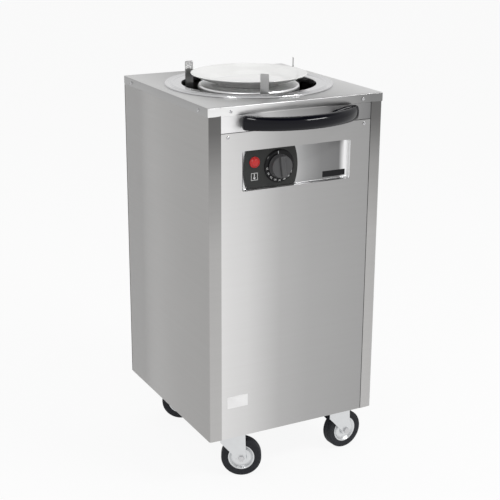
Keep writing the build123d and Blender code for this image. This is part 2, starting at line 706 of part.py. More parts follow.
def guide_brackets():
    """Lugs under the lid that the guides' rods turn in."""
    w = GUIDE_LUG_WIDTH / 2
    x, y = GUIDE_PIVOT_X, GUIDE_PIVOT_Y
    lug = block(x, GUIDE_RISER_RADIUS, y - w, y + w, SHELF_BOTTOM, SHELF_TOP)
    lug += post(w, SHELF_BOTTOM, SHELF_TOP, x, y)
    lug += block(GUIDE_RISER_RADIUS - BRACKET_SHEET, GUIDE_RISER_RADIUS, y - w, y + w,
                 SHELF_BOTTOM, LID_UNDER)
    lug += block(GUIDE_RISER_RADIUS - BRACKET_SHEET, LID_HOLE_RADIUS + BRACKET_FOOT, y - w, y + w,
                 LID_UNDER - BRACKET_SHEET, LID_UNDER)
    lug -= post(GUIDE_ROD_RADIUS + RUNNING_PLAY, SHELF_BOTTOM - SHEET, SHELF_TOP + SHEET, x, y,
                around=True)
    return [Rot(0, 0, angle) * lug for angle in GUIDE_ANGLES.values()]


def plate_guide(angle):
    """Upright blade welded along a rod that turns in the deck and a lug."""
    top = LID_TOP + GUIDE_ABOVE_LID
    low = DECK_TOP + END_FLOAT
    blade = Pos(-GUIDE_WIDTH / 2, 0, (low + top) / 2) * Box(GUIDE_WIDTH, GUIDE_THICK, top - low)
    blade = fillet(blade.faces().sort_by(Axis.Z)[-1].edges().filter_by(Axis.Y), GUIDE_CORNER)
    blade -= block(-NOTCH_WIDTH, GUIDE_THICK, -GUIDE_THICK, GUIDE_THICK,
                   SHELF_BOTTOM - NOTCH_MARGIN, SHELF_TOP + NOTCH_MARGIN)
    guide = blade + post(GUIDE_ROD_RADIUS, low, GUIDE_ROD_TOP)
    guide += post(GUIDE_PIN_RADIUS, DECK_TOP - DECK_SHEET, low)
    return Rot(0, 0, angle) * Pos(GUIDE_PIVOT_X, GUIDE_PIVOT_Y, 0) * Rot(0, 0, 90 - GUIDE_TURN) * guide


def carrier_disc():
    """Spun disc with a turned-down edge that the plates stand on."""
    r, t, edge = CARRIER_RADIUS, CARRIER_SHEET, CARRIER_EDGE
    top = CARRIER_TOP
    return turned([
        (0, top), (r - edge, top), (r, top - edge), (r, top - CARRIER_SKIRT), (r - t, top - CARRIER_SKIRT),
        (r - t, top - edge - t / 2), (r - edge - t / 2, top - t), (0, top - t),
    ], WELL_SIDES)


def carrier_column():
    """Square tube between the disc and the spider."""
    low, high = SPIDER_TOP, CARRIER_TOP - CARRIER_SHEET
    s = COLUMN_SIDE / 2
    w = s - COLUMN_WALL
    return block(-s, s, -s, s, low, high) - block(-w, w, -w, w, low, high)


def carrier_spider():
    """Hub with three ribbed arms that reach out to the rods."""
    spider = post(SPIDER_HUB_RADIUS, SPIDER_BOTTOM, SPIDER_TOP)
    w, rib = ARM_WIDTH / 2, ARM_RIB_THICK / 2
    arm = block(0, ARM_REACH, -w, w, SPIDER_BOTTOM, SPIDER_TOP)
    arm += block(0, ARM_RIB_REACH, -rib, rib, SPIDER_BOTTOM - ARM_RIB_HEIGHT, SPIDER_BOTTOM)
    for angle in ARM_ANGLES:
        spider += Rot(0, 0, angle) * arm
    for angle in ARM_ANGLES:
        turn = Rot(0, 0, angle)
        spider -= turn * post(BUSH_RADIUS, SPIDER_BOTTOM - SHEET, SPIDER_TOP + SHEET, ROD_PITCH_RADIUS)
        spider -= turn * post(HOOK_HOLE, SPIDER_BOTTOM - SHEET, SPIDER_TOP + SHEET, SPRING_PITCH_RADIUS)
    return spider


def carrier_bushes():
    """Flanged bushes that slide on the rods."""
    bush = post(BUSH_RADIUS, SPIDER_TOP - BUSH_LENGTH, SPIDER_TOP)
    bush += post(BUSH_FLANGE_RADIUS, SPIDER_TOP, SPIDER_TOP + BUSH_FLANGE_THICK)
    bush -= post(ROD_RADIUS + RUNNING_PLAY, SPIDER_TOP - 2 * BUSH_LENGTH, SPIDER_TOP + BUSH_LENGTH,
                 around=True)
    return [at_polar(ROD_PITCH_RADIUS, angle) * bush for angle in ARM_ANGLES]


def carrier_springs():
    """Extension springs between the lid's brackets and the spider's arms."""
    top = SHELF_BOTTOM - HOOK_BAR
    low = SPIDER_TOP + HOOK_BAR
    bar = HOOK_BAR / 2
    coil = post(SPRING_RADIUS, low, top)
    coil -= post(SPRING_RADIUS - SPRING_WIRE, low + SPRING_WIRE, top - SPRING_WIRE)
    coil += post(HOOK_WIRE, top, SHELF_TOP + HOOK_WIRE)
    coil += post(HOOK_WIRE, SPIDER_BOTTOM - HOOK_WIRE, low)
    for z in (SHELF_TOP + HOOK_WIRE, SPIDER_BOTTOM - HOOK_WIRE):
        coil += Pos(0, 0, z) * Box(2 * HOOK_WIRE, 2 * bar, 2 * HOOK_WIRE)
    return [at_polar(SPRING_PITCH_RADIUS, angle) * coil for angle in ARM_ANGLES]


def dinner_plate():
    """Round china plate with a coved well and a sloping rim."""
    z = CARRIER_TOP
    return turned([
        (0, z), (PLATE_BASE_RADIUS, z), (PLATE_COVE_RADIUS, z + PLATE_COVE_RISE),
        (PLATE_RADIUS, z + PLATE_HEIGHT - PLATE_EDGE), (PLATE_RADIUS, z + PLATE_HEIGHT),
        (PLATE_COVE_RADIUS, z + PLATE_THICK + PLATE_COVE_RISE), (PLATE_WELL_RADIUS, z + PLATE_THICK),
        (0, z + PLATE_THICK),
    ], WELL_SIDES)


def heater_element():
    """Hairpin tubular heater with a terminal pin at each end."""
    z = TRAY_FLOOR + HEATER_LIFT
    half, bend = HEATER_LENGTH / 2, HEATER_SPACING / 2
    section = Pos(0, bend, 0) * Rot(0, 90, 0) * RegularPolygon(HEATER_TUBE_RADIUS, SMALL_SIDES)
    loop = Pos(half, 0, z) * revolve(section, Axis.Z, -180)
    for y in (-bend, bend):
        loop += side_bar(HEATER_TUBE_RADIUS, -half, half, y, z)
        loop += side_bar(HEATER_PIN_RADIUS, -half - HEATER_PIN_LENGTH, -half, y, z)
    return loop


def heater_brackets():
    """Two bridges on the tray that the heater lies on."""
    top = TRAY_FLOOR + HEATER_LIFT - HEATER_TUBE_RADIUS
    half, w = HEATER_SPACING / 2 + CLIP_WIDTH, CLIP_WIDTH / 2
    bridge = block(-w, w, -half, half, top - CLIP_SHEET, top)
    for side in (-1, 1):
        y0, y1 = sorted((side * half, side * (half - CLIP_SHEET)))
        bridge += block(-w, w, y0, y1, TRAY_FLOOR, top)
    return [Pos(x, 0, 0) * bridge for x in (-CLIP_X, CLIP_X)]


def terminal_block():
    """Mains terminal block on the tray."""
    x, y, z = TERMINAL_LENGTH, TERMINAL_DEPTH, TERMINAL_HEIGHT
    place = Pos(TERMINAL_X, TERMINAL_Y, TRAY_FLOOR + z / 2)
    body = Box(x, y, z)
    ridge = Box(x / 12, y, z / 3)
    for step in (-1, 0, 1):
        body -= Pos(step * x / 4, 0, z / 2) * ridge
    return place * body


def cable_gland():
    """Gland under the tray that the mains lead enters through."""
    gland = post(GLAND_BODY_RADIUS, CASTOR_HEIGHT - GLAND_DROP, TRAY_FLOOR + GLAND_RISE)
    nut = extrude(RegularPolygon(GLAND_HEX_SIDE, 6), GLAND_HEX_HEIGHT)
    gland += Pos(0, 0, CASTOR_HEIGHT - GLAND_HEX_HEIGHT) * nut + Pos(0, 0, TRAY_FLOOR) * nut
    gland -= Pos(0, 0, CASTOR_HEIGHT) * Cylinder(GLAND_BORE_RADIUS, 4 * GLAND_RISE)
    return Pos(GLAND_X, GLAND_Y, 0) * gland


def castor_places():
    """Swivel axis of each castor."""
    return {
        "fl": (-CASTOR_X, -CASTOR_FRONT_Y), "fr": (CASTOR_X, -CASTOR_FRONT_Y),
        "rl": (-CASTOR_X, CASTOR_REAR_Y), "rr": (CASTOR_X, CASTOR_REAR_Y),
    }


def castor_bolt_places():
    """Every bolt that holds a castor's top plate."""
    return [(x + i * BOLT_SPACING_X / 2, y + j * BOLT_SPACING_Y / 2)
            for x, y in castor_places().values() for i in (-1, 1) for j in (-1, 1)]


def castor_plates():
    """Top plates with their ball race and kingpin, one for each castor."""
    low = CASTOR_HEIGHT - TOP_PLATE_THICK
    plate = block(-TOP_PLATE_LENGTH / 2, TOP_PLATE_LENGTH / 2, -TOP_PLATE_WIDTH / 2,
                  TOP_PLATE_WIDTH / 2, low, CASTOR_HEIGHT)
    plate = chamfer(plate.edges().filter_by(Axis.Z), BEND)
    plate += post(RACE_RADIUS, CROWN_TOP + SWIVEL_GAP, low)
    head_top = CROWN_BOTTOM - SWIVEL_GAP
    plate += post(KINGPIN_RADIUS, head_top, low)
    plate += post(KINGPIN_HEAD_RADIUS, head_top - KINGPIN_HEAD_THICK, head_top)
    for i in (-1, 1):
        for j in (-1, 1):
            plate -= post(BOLT_RADIUS, low - SHEET, CASTOR_HEIGHT + SHEET,
                          i * BOLT_SPACING_X / 2, j * BOLT_SPACING_Y / 2)
    return [Pos(x, y, 0) * plate for x, y in castor_places().values()]


def castor_bolts():
    """Bolts that hold the castors' top plates to the tray."""
    low = CASTOR_HEIGHT - TOP_PLATE_THICK
    bolt = Pos(0, 0, low - BOLT_HEAD_THICK) * extrude(RegularPolygon(BOLT_HEAD_RADIUS, 6), BOLT_HEAD_THICK)
    bolt += post(BOLT_RADIUS, low, low + BOLT_LENGTH)
    return [Pos(x, y, 0) * bolt for x, y in castor_bolt_places()]


def fork():
    """Pressed fork of a castor whose swivel axis is the origin, trailing to +X."""
    side = FORK_GAP / 2 + FORK_SHEET
    crown = block(-FORK_FRONT, FORK_REAR, -side, side, CROWN_BOTTOM, CROWN_TOP)
    crown -= post(KINGPIN_RADIUS + RUNNING_PLAY, CROWN_BOTTOM - SHEET, CROWN_TOP + SHEET, around=True)
    z = WHEEL_RADIUS
    end = [pi * i / SMALL_SIDES for i in range(SMALL_SIDES + 1)]
    outline = make_face(Polyline(
        (-FORK_FRONT, CROWN_TOP), (FORK_REAR, CROWN_TOP),
        *[(TRAIL + FORK_END_RADIUS * cos(turn), z - FORK_END_RADIUS * sin(turn)) for turn in end],
        (-FORK_FRONT, CROWN_TOP - FORK_SHOULDER), close=True))
    leg = Rot(90, 0, 0) * extrude(outline, FORK_SHEET)
    leg -= front_bar(AXLE_RADIUS, -2 * FORK_SHEET, FORK_SHEET, TRAIL, z)
    frame = crown + Pos(0, side, 0) * leg + Pos(0, -FORK_GAP / 2, 0) * leg
    return frame


def axle():
    """Axle bolt through the fork, with a head and a nut."""
    side = FORK_GAP / 2 + FORK_SHEET
    bolt = Pos(0, 0, -side) * bar(AXLE_RADIUS, 2 * side)
    head = extrude(RegularPolygon(AXLE_HEAD_RADIUS, 6), AXLE_HEAD_THICK)
    bolt += Pos(0, 0, side) * head
    bolt += Pos(0, 0, -side - AXLE_HEAD_THICK) * head
    return Pos(TRAIL, 0, WHEEL_RADIUS) * Rot(90, 0, 0) * bolt


def wheel_rim():
    """Pressed rim with a hub bored to run on the axle."""
    bore = AXLE_RADIUS + RUNNING_PLAY
    half = [(bore, HUB_WIDTH / 2), (HUB_RADIUS, HUB_WIDTH / 2), (DISH_RADIUS, DISH_WIDTH / 2),
            (RIM_RADIUS, RIM_WIDTH / 2)]
    rim = turned(half + [(r, -z) for r, z in reversed(half)], ROUND_SIDES, around=True)
    return Pos(TRAIL, 0, WHEEL_RADIUS) * Rot(90, 0, 0) * rim


def tyre():
    """Solid rubber tyre round the rim."""
    shoulder = WHEEL_RADIUS - SHOULDER_DROP
    half = [(RIM_RADIUS, RIM_WIDTH / 2), (shoulder, TYRE_WIDTH / 2), (WHEEL_RADIUS, TREAD_WIDTH / 2)]
    ring = turned(half + [(r, -z) for r, z in reversed(half)], ROUND_SIDES, around=True)
    return Pos(TRAIL, 0, WHEEL_RADIUS) * Rot(90, 0, 0) * ring


def write(name, shape):
    """Write one sub-part, moved so that the whole is centred on the origin."""
    solids = shape if isinstance(shape, list) else [shape]
    group = Compound(children=[Pos(0, WELL_TO_MIDDLE, 0) * solid for solid in solids])
    export_step(group if len(solids) > 1 else Pos(0, WELL_TO_MIDDLE, 0) * solids[0], f"parts/{name}.step")


def main():
    """Build and write every sub-part."""
    os.makedirs("parts", exist_ok=True)
    right_panel = side_panel()
    write("top_cover", top_cover())
    write("well_ring", well_ring())
    write("side_panel_right", right_panel)
    write("side_panel_left", mirror(right_panel, Plane.YZ))
    write("back_panel", back_panel())
    write("base_tray", base_tray())
    write("front_apron", front_apron())
    write("front_rail", front_rail())
    write("front_panel", front_panel())
    write("control_recess", control_recess())
    write("control_fascia", control_fascia())
    write("lamp_lens", lamp_lens())
    write("lamp_body", lamp_body())
    write("thermostat_body", thermostat_body())
    write("thermostat_shaft", thermostat_shaft())
    write("control_knob", control_knob())
    write("push_handle", push_handle())
    write("handle_screws", handle_screws())
    write("rim_screws", rim_screws())
    write("panel_screws", panel_screws())
    write("cage_base", cage_base())
    write("lift_rods", lift_rods())
    write("rod_brackets", rod_brackets())
    write("guide_brackets", guide_brackets())
    for name, angle in GUIDE_ANGLES.items():
        write(f"plate_guide_{name}", plate_guide(angle))
    write("carrier_disc", carrier_disc())
    write("carrier_column", carrier_column())
    write("carrier_spider", carrier_spider())
    write("carrier_bushes", carrier_bushes())
    write("carrier_springs", carrier_springs())
    write("dinner_plate", dinner_plate())
    write("heater_element", heater_element())
    write("heater_brackets", heater_brackets())
    write("terminal_block", terminal_block())
    write("cable_gland", cable_gland())
    write("castor_plates", castor_plates())
    write("castor_bolts", castor_bolts())
    castor_parts = {"fork": fork(), "axle": axle(), "rim": wheel_rim(), "tyre": tyre()}
    for corner, (x, y) in castor_places().items():
        place = Pos(x, y, 0) * Rot(0, 0, CASTOR_HEADINGS[corner])
        for part, shape in castor_parts.items():
            write(f"castor_{corner}_{part}", place * shape)


main()
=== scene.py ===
"""The looks of a mobile heated plate dispenser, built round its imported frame.

Everything is in metres, with +Z up and the front towards -Y. The well's axis
stands at WELL_Y, because the frame is centred on the cabinet and its handle.
"""

from __future__ import annotations

import logging
import math
from dataclasses import dataclass
from functools import partialmethod
from itertools import pairwise, product
from typing import Iterable, Sequence

import bpy
from mathutils import Matrix, Vector

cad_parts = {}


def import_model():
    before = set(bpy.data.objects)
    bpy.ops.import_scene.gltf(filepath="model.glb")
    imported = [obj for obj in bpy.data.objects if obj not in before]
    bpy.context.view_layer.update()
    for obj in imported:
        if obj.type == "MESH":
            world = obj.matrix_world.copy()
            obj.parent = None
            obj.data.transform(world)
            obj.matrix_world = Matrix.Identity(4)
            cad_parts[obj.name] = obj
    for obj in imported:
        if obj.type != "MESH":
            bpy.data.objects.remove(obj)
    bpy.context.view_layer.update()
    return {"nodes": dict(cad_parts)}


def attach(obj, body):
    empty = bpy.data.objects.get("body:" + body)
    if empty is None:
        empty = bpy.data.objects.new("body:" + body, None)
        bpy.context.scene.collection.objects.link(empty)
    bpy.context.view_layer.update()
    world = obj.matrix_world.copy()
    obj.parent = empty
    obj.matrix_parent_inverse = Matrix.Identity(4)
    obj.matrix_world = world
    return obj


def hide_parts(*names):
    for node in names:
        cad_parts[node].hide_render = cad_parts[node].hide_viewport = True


LOG = logging.getLogger("dispenser")
MM = 0.001
WELL_Y = 0.0415
LID_TOP = 0.938
FACE_Y = -0.2023
SIDES = (-1, 1)
AT_WELL = Matrix.Translation((0, WELL_Y, 0))
FORWARDS = Matrix.Rotation(math.pi / 2, 4, "X")
Piece = bpy.types.Object
Pair = tuple[float, float]
Point = tuple[float, float, float]
Colour = Point
Profile = Stops = Sequence[Pair]
Sockets = dict[str | int, object]
EVEN: Stops = ((-0.2, 1.0), (0.2, 1.0))
SMEAR = 0.08


class Wire:
    """A shader socket that takes Python's arithmetic."""

    def __init__(self, graph: Graph, socket: bpy.types.NodeSocket) -> None:
        """Wraps one output of a node in graph."""
        self.graph = graph
        self.socket = socket

    def math(self, operation: str, other: Wire | float = 0.0, back: bool = False) -> Wire:
        """One Math node on this wire and another, or on the other and this one if back."""
        first, second = (other, self) if back else (self, other)
        return self.graph.node("ShaderNodeMath", {"operation": operation}, {0: first, 1: second})

    __add__ = partialmethod(math, "ADD")
    __radd__ = partialmethod(math, "ADD", back=True)
    __sub__ = partialmethod(math, "SUBTRACT")
    __rsub__ = partialmethod(math, "SUBTRACT", back=True)
    __mul__ = partialmethod(math, "MULTIPLY")

    def ramp(self, low: float, high: float) -> Wire:
        """Runs smoothly from 0 where self is low to 1 where it is high."""
        settings = {"interpolation_type": "SMOOTHSTEP"}
        values = {"Value": self, "From Min": low, "From Max": high}
        return self.graph.node("ShaderNodeMapRange", settings, values)


class Graph:
    """The node tree of one material or of the world."""

    def __init__(self, tree: bpy.types.NodeTree) -> None:
        """Empties the tree, so that only the nodes made here are in it."""
        self.tree = tree
        tree.nodes.clear()

    def node(
        self, kind: str, settings: Sockets | None = None, values: Sockets | None = None,
        output: str | int = 0,
    ) -> Wire:
        """Makes a node and returns one of its outputs.

        The settings are its own properties, and the values are what each of
        its inputs gets: a wire, a number or a tuple.
        """
        made = self.tree.nodes.new(kind)
        for key, value in (settings or {}).items():
            setattr(made, key, value)
        for key, value in (values or {}).items():
            if isinstance(value, Wire):
                self.tree.links.new(value.socket, made.inputs[key])
            else:
                made.inputs[key].default_value = value
        return Wire(self, made.outputs[output] if made.outputs else None)

    def place(self) -> Wire:
        """The point's place in the piece's own space."""
        return self.node("ShaderNodeTexCoord", output="Object")

    def part(self, vector: Wire, axis: str) -> Wire:
        """One of the three numbers of a vector."""
        return self.node("ShaderNodeSeparateXYZ", values={0: vector}, output=axis)

    def length(self, vector: Wire) -> Wire:
        """How long a vector is."""
        return self.node("ShaderNodeVectorMath", {"operation": "LENGTH"}, {0: vector}, output=1)

    def scaled(self, vector: Wire, scale: Point, shift: Point = (0, 0, 0)) -> Wire:
        """The vector moved by shift and then scaled."""
        moved = self.node("ShaderNodeVectorMath", {"operation": "ADD"}, {0: vector, 1: shift})
        return self.node("ShaderNodeVectorMath", {"operation": "MULTIPLY"}, {0: moved, 1: scale})

    def noise(self, vector: Wire, scale: float, detail: float = 3.0) -> Wire:
        """A cloudy pattern that runs from about 0 to 1."""
        values = {"Vector": vector, "Scale": scale, "Detail": detail}
        return self.node("ShaderNodeTexNoise", values=values)

    def blend(
        self, factor: Wire | float, first: object, second: object, kind: str = "MIX"
    ) -> Wire:
        """A colour that goes from first to second as factor goes from 0 to 1."""
        settings = {"data_type": "RGBA", "blend_type": kind}
        return self.node("ShaderNodeMix", settings, {0: factor, 6: first, 7: second}, output=2)

    def times(self, first: Wire, second: Wire) -> Wire:
        """The product of two colours."""
        return self.blend(1.0, first, second, "MULTIPLY")

    def stops(self, value: Wire, tones: Stops) -> Wire:
        """A grey that follows tones, which are places and greys in rising order."""
        low, high = tones[0][0], tones[-1][0]
        values = {"Value": value, "From Min": low, "From Max": high}
        share = self.node("ShaderNodeMapRange", values=values)
        ramp = self.node("ShaderNodeValToRGB", values={0: share})
        row = ramp.socket.node.color_ramp.elements
        for index, (at, grey) in enumerate(tones):
            spot = (at - low) / (high - low)
            made = row[index] if index < 2 else row.new(spot)
            made.position, made.color = spot, (grey, grey, grey, 1.0)
        return ramp

    def bump(self, height: Wire, strength: float, distance: float) -> Wire:
        """A normal that follows height, which stands for distance in metres."""
        values = {"Height": height, "Strength": strength, "Distance": distance}
        return self.node("ShaderNodeBump", values=values)


def rgba(colour: Colour, gain: float = 1.0) -> tuple[float, float, float, float]:
    """The colour times gain, as four numbers."""
    red, green, blue = (min(1.0, part * gain) for part in colour)
    return (red, green, blue, 1.0)


@dataclass(frozen=True)
class Finish:
    """A clouded finish: faint mottles in its colour and sheen, over a fine relief.

    The tones are how bright the mottles get, and spread how far they move the
    roughness. The grain is the relief's scale and detail, and depth its depth.
    """

    name: str
    colour: Colour
    roughness: float
    metallic: float = 0.0
    coat: float = 0.0
    coat_roughness: float = 0.05
    ior: float = 1.5
    gloss: float = 0.5
    cloud: float = 26.0
    tones: Pair = (0.85, 1.15)
    spread: float = 0.12
    grain: Pair = (900.0, 2.0)
    relief: float = 0.1
    depth: float = 0.2 * MM

    def shade(self, graph: Graph, factor: Wire) -> Wire:
        """The colour, from the first tone to the second as factor goes from 0 to 1."""
        return graph.blend(factor, *(rgba(self.colour, tone) for tone in self.tones))

    def sheen(self, pattern: Wire) -> Wire:
        """The roughness, spread about its own value by a pattern from 0 to 1."""
        return self.roughness + (pattern - 0.5) * self.spread

    def sockets(self, graph: Graph, place: Wire) -> Sockets:
        """The sockets that vary over the surface."""
        cloud = graph.noise(place, self.cloud)
        return {
            "Base Color": self.shade(graph, cloud),
            "Roughness": self.sheen(cloud),
            "Normal": graph.bump(graph.noise(place, *self.grain), self.relief, self.depth),
        }

    def material(self) -> bpy.types.Material:
        """The finish as a Blender material, made once."""
        known = bpy.data.materials.get(self.name)
        if known:
            return known
        made = bpy.data.materials.new(self.name)
        made.use_nodes = True
        graph = Graph(made.node_tree)
        values: Sockets = {
            "Metallic": self.metallic,
            "Coat Weight": self.coat,
            "Coat Roughness": self.coat_roughness,
            "IOR": self.ior,
            "Specular IOR Level": self.gloss,
        }
        values.update(self.sockets(graph, graph.place()))
        shader = graph.node("ShaderNodeBsdfPrincipled", values=values)
        graph.node("ShaderNodeOutputMaterial", values={"Surface": shader})
        return made


@dataclass(frozen=True)
class BrushedSteel(Finish):
    """Satin stainless sheet with fine grain, faint smears and painted light: a soft roll of
    painted reflection and shade.

    The streaks are the brushed pattern's scale along X, Y and Z.
    """

    metallic: float = 1.0
    cloud: float = 5.0
    tones: Pair = (0.93, 1.07)
    spread: float = 0.16
    streaks: Point = (5.0, 5.0, 900.0)
    coarser: float = 9.0
    fine_share: float = 0.6
    # Stops of painted reflection and shade, across X and up Z.
    painted_light_across: Stops = EVEN
    upright: Stops = EVEN

    def tone(self, graph: Graph, place: Wire) -> Wire:
        """Painted light: how bright the sheet's painted reflection and shade are at each place."""
        painted_light_across = graph.stops(graph.part(place, "X"), self.painted_light_across)
        return graph.times(painted_light_across, graph.stops(graph.part(place, "Z"), self.upright))

    def sockets(self, graph: Graph, place: Wire) -> Sockets:
        """Fine streaks in colour, sheen and relief, over a broad painted change of reflected
        light.
        """
        scales = (self.streaks, tuple(scale / self.coarser for scale in self.streaks))
        fine, broad = (graph.noise(graph.scaled(place, scale), 1.0, 2.0) for scale in scales)
        smear = graph.noise(place, self.cloud, 2.0)
        streak = fine * self.fine_share + broad * (1 - self.fine_share)
        return {
            "Base Color": graph.times(self.shade(graph, streak), self.tone(graph, place)),
            "Roughness": self.sheen(fine) + (smear - 0.5) * SMEAR,
            "Normal": graph.bump(streak, self.relief, self.depth),
        }


@dataclass(frozen=True)
class SideSheet(BrushedSteel):
    """A side panel's sheet: an even side, and a front fold with painted reflection that turns to
    painted shade under the lid.
    """

    turn: Pair = (-0.2000, -0.2020)
    # Painted light up the fold: bright low down, painted shade towards the lid.
    fold_painted_light: Stops = ((0.125, 1.32), (0.60, 1.20), (0.78, 0.84), (0.88, 0.42), (0.916, 0.38))

    def tone(self, graph: Graph, place: Wire) -> Wire:
        """The fold's painted light and shade in front of the turn, and the even sheet behind it.
        """
        front = graph.part(place, "Y").ramp(*self.turn)
        fold_painted_light = graph.stops(graph.part(place, "Z"), self.fold_painted_light)
        return graph.blend(front, super().tone(graph, place), fold_painted_light)


@dataclass(frozen=True)
class LidSheet(BrushedSteel):
    """The lid's sheet, with painted light face by face: its top, its front rim and its side rims
    each get painted reflection and shade of their own.
    """

    top_turn: Pair = (0.9362, 0.9374)
    front_turn: Pair = (-0.2010, -0.2030)
    # The front rim's stops of painted reflection across X, and the side rims' flat painted shade.
    front: Stops = EVEN
    side_painted_shade: float = 0.385

    def tone(self, graph: Graph, place: Wire) -> Wire:
        """Painted light: the top's painted tones over its turn, the front rim's before its turn,
        else the side rims' painted shade.
        """
        top = graph.part(place, "Z").ramp(*self.top_turn)
        front = graph.part(place, "Y").ramp(*self.front_turn)
        side = rgba((self.side_painted_shade,) * 3)
        rim = graph.blend(front, side, graph.stops(graph.part(place, "X"), self.front))
        return graph.blend(top, rim, super().tone(graph, place))


@dataclass(frozen=True)
class PolishedSteel(Finish):
    """Bright stainless with round polishing marks about an upright axis."""

    metallic: float = 1.0
    cloud: float = 22.0
    tones: Pair = (0.94, 1.05)
    spread: float = 0.08
    grain: Pair = (1400.0, 2.0)
    relief: float = 0.05
    depth: float = 0.1 * MM
    centre: Pair = (0.0, WELL_Y)
    # Stops of painted light and shade across X.
    painted_light_across: Stops = EVEN

    def sockets(self, graph: Graph, place: Wire) -> Sockets:
        """Hairline rings and faint finger smears, under painted light and shade across X."""
        tone = graph.stops(graph.part(place, "X"), self.painted_light_across)
        shift = (-self.centre[0], -self.centre[1], 0.0)
        radius = graph.length(graph.scaled(place, (1.0, 1.0, 0.0), shift))
        around = graph.node("ShaderNodeCombineXYZ", values={0: radius, 2: graph.part(place, "Z")})
        rings = graph.noise(around, *self.grain)
        smear = graph.noise(place, self.cloud)
        return {
            "Base Color": graph.times(self.shade(graph, smear), tone),
            "Roughness": self.sheen(rings) + (smear - 0.5) * SMEAR,
            "Normal": graph.bump(rings, self.relief, self.depth),
        }


@dataclass(frozen=True)
class PlatedSteel(Finish):
    """Zinc plating: bluish bright metal with mottled sheen."""

    metallic: float = 1.0
    cloud: float = 70.0
    tones: Pair = (0.94, 1.05)
    spread: float = 0.16
    grain: Pair = (1500.0, 1.0)
    relief: float = 0.04
    depth: float = 0.1 * MM


@dataclass(frozen=True)
class GalvanisedSteel(Finish):
    """Hot-dipped sheet with its crystal spangle."""

    metallic: float = 0.9
    cloud: float = 140.0
    tones: Pair = (0.82, 1.12)
    spread: float = 0.2

    def sockets(self, graph: Graph, place: Wire) -> Sockets:
        """Spangles of several tones."""
        values = {"Vector": place, "Scale": self.cloud}
        tone = graph.part(graph.node("ShaderNodeTexVoronoi", values=values, output="Color"), "X")
        return {"Base Color": self.shade(graph, tone), "Roughness": self.sheen(tone)}


@dataclass(frozen=True)
class LampLens(Finish):
    """Clear red lens with the rings of its moulded facets."""

    tones: Pair = (1.0, 0.35)
    relief: float = 0.25
    depth: float = 0.3 * MM
    centre: Point = (0.0, 0.0, 0.0)
    heart: Pair = (2.0 * MM, 12.5 * MM)
    rings: float = 4200.0
    glow: Colour = (0.30, 0.004, 0.006)
    edge_glow: float = 0.2

    def sockets(self, graph: Graph, place: Wire) -> Sockets:
        """A paler heart, a darker edge and fine rings."""
        shift = tuple(-c for c in self.centre)
        radius = graph.length(graph.scaled(place, (1.0, 0.0, 1.0), shift))
        edge = radius.ramp(*self.heart)
        rings = (radius * self.rings).math("SINE")
        return {
            "Base Color": self.shade(graph, edge),
            "Roughness": self.roughness,
            "Emission Color": graph.blend(edge, rgba(self.glow), rgba(self.glow, self.edge_glow)),
            "Emission Strength": 1.0,
            "Normal": graph.bump(rings, self.relief, self.depth),
        }


@dataclass(frozen=True)
class Glaze(Finish):
    """Glazed china: a faintly clouded body under a slightly rippled glaze."""

    cloud: float = 30.0
    tones: Pair = (0.97, 1.02)
    spread: float = 0.05
    grain: Pair = (90.0, 1.0)
    relief: float = 0.06
    depth: float = 0.4 * MM


@dataclass(frozen=True)
class Rubber(Finish):
    """Grey moulded rubber with dust on it."""

    cloud: float = 60.0
    tones: Pair = (1.0, 1.45)
    grain: Pair = (1100.0, 2.0)
    relief: float = 0.22
    dust: Pair = (0.45, 0.75)

    def sockets(self, graph: Graph, place: Wire) -> Sockets:
        """Dusty patches over a fine pitted skin."""
        pits = graph.noise(place, *self.grain)
        dust = graph.noise(place, self.cloud, 4.0).ramp(*self.dust)
        return {
            "Base Color": self.shade(graph, dust),
            "Roughness": self.roughness + dust * self.spread,
            "Normal": graph.bump(pits, self.relief, self.depth),
        }


def deselect() -> None:
    """Deselects every object."""
    bpy.ops.object.select_all(action="DESELECT")


def pick(piece: Piece) -> None:
    """Selects the piece alone and makes it active."""
    deselect()
    piece.select_set(True)
    bpy.context.view_layer.objects.active = piece


def settle() -> Piece:
    """Applies the selected object's place, turn and scale to its mesh."""
    bpy.ops.object.transform_apply(location=True, rotation=True, scale=True)
    return bpy.context.object


def edit() -> None:
    """Goes into edit mode on the active object."""
    bpy.ops.object.mode_set(mode="EDIT")


def leave_edit(name: str = "") -> Piece:
    """Leaves edit mode, and renames the active object if there is a name."""
    bpy.ops.object.mode_set(mode="OBJECT")
    piece = bpy.context.object
    piece.name = name or piece.name
    return piece


def select_all() -> None:
    """Selects the whole mesh, in edit mode."""
    bpy.ops.mesh.select_all(action="SELECT")


def close_up() -> None:
    """Merges doubles and turns every face outwards, in edit mode."""
    select_all()
    bpy.ops.mesh.remove_doubles(threshold=1e-6)
    bpy.ops.mesh.normals_make_consistent(inside=False)


def seal() -> Piece:
    """Closes up the active object's mesh."""
    edit()
    close_up()
    return leave_edit()


def modify(piece: Piece, kind: str, **settings: object) -> None:
    """Gives the piece a modifier with settings and applies it."""
    modifier = piece.modifiers.new(kind.lower(), kind)
    for key, value in settings.items():
        setattr(modifier, key, value)
    pick(piece)
    bpy.ops.object.modifier_apply(modifier=modifier.name)


def shade_smooth(piece: Piece, angle: float = 40.0) -> None:
    """Shades the piece smooth, except at edges sharper than angle, in degrees."""
    pick(piece)
    bpy.ops.object.shade_smooth_by_angle(angle=math.radians(angle))


def put(piece: Piece, matrix: Matrix) -> Piece:
    """Places the piece and applies the place to its mesh."""
    pick(piece)
    piece.matrix_world = matrix @ piece.matrix_world
    return settle()


def join(pieces: Sequence[Piece], name: str) -> Piece:
    """Joins pieces into the first one."""
    pick(pieces[0])
    for piece in pieces:
        piece.select_set(True)
    bpy.ops.object.join()
    pieces[0].name = name
    return pieces[0]


def carve(piece: Piece, cutter: Piece) -> None:
    """Cuts the cutter out of the piece and removes the cutter."""
    modify(piece, "BOOLEAN", operation="DIFFERENCE", solver="EXACT", object=cutter)
    bpy.data.objects.remove(cutter)


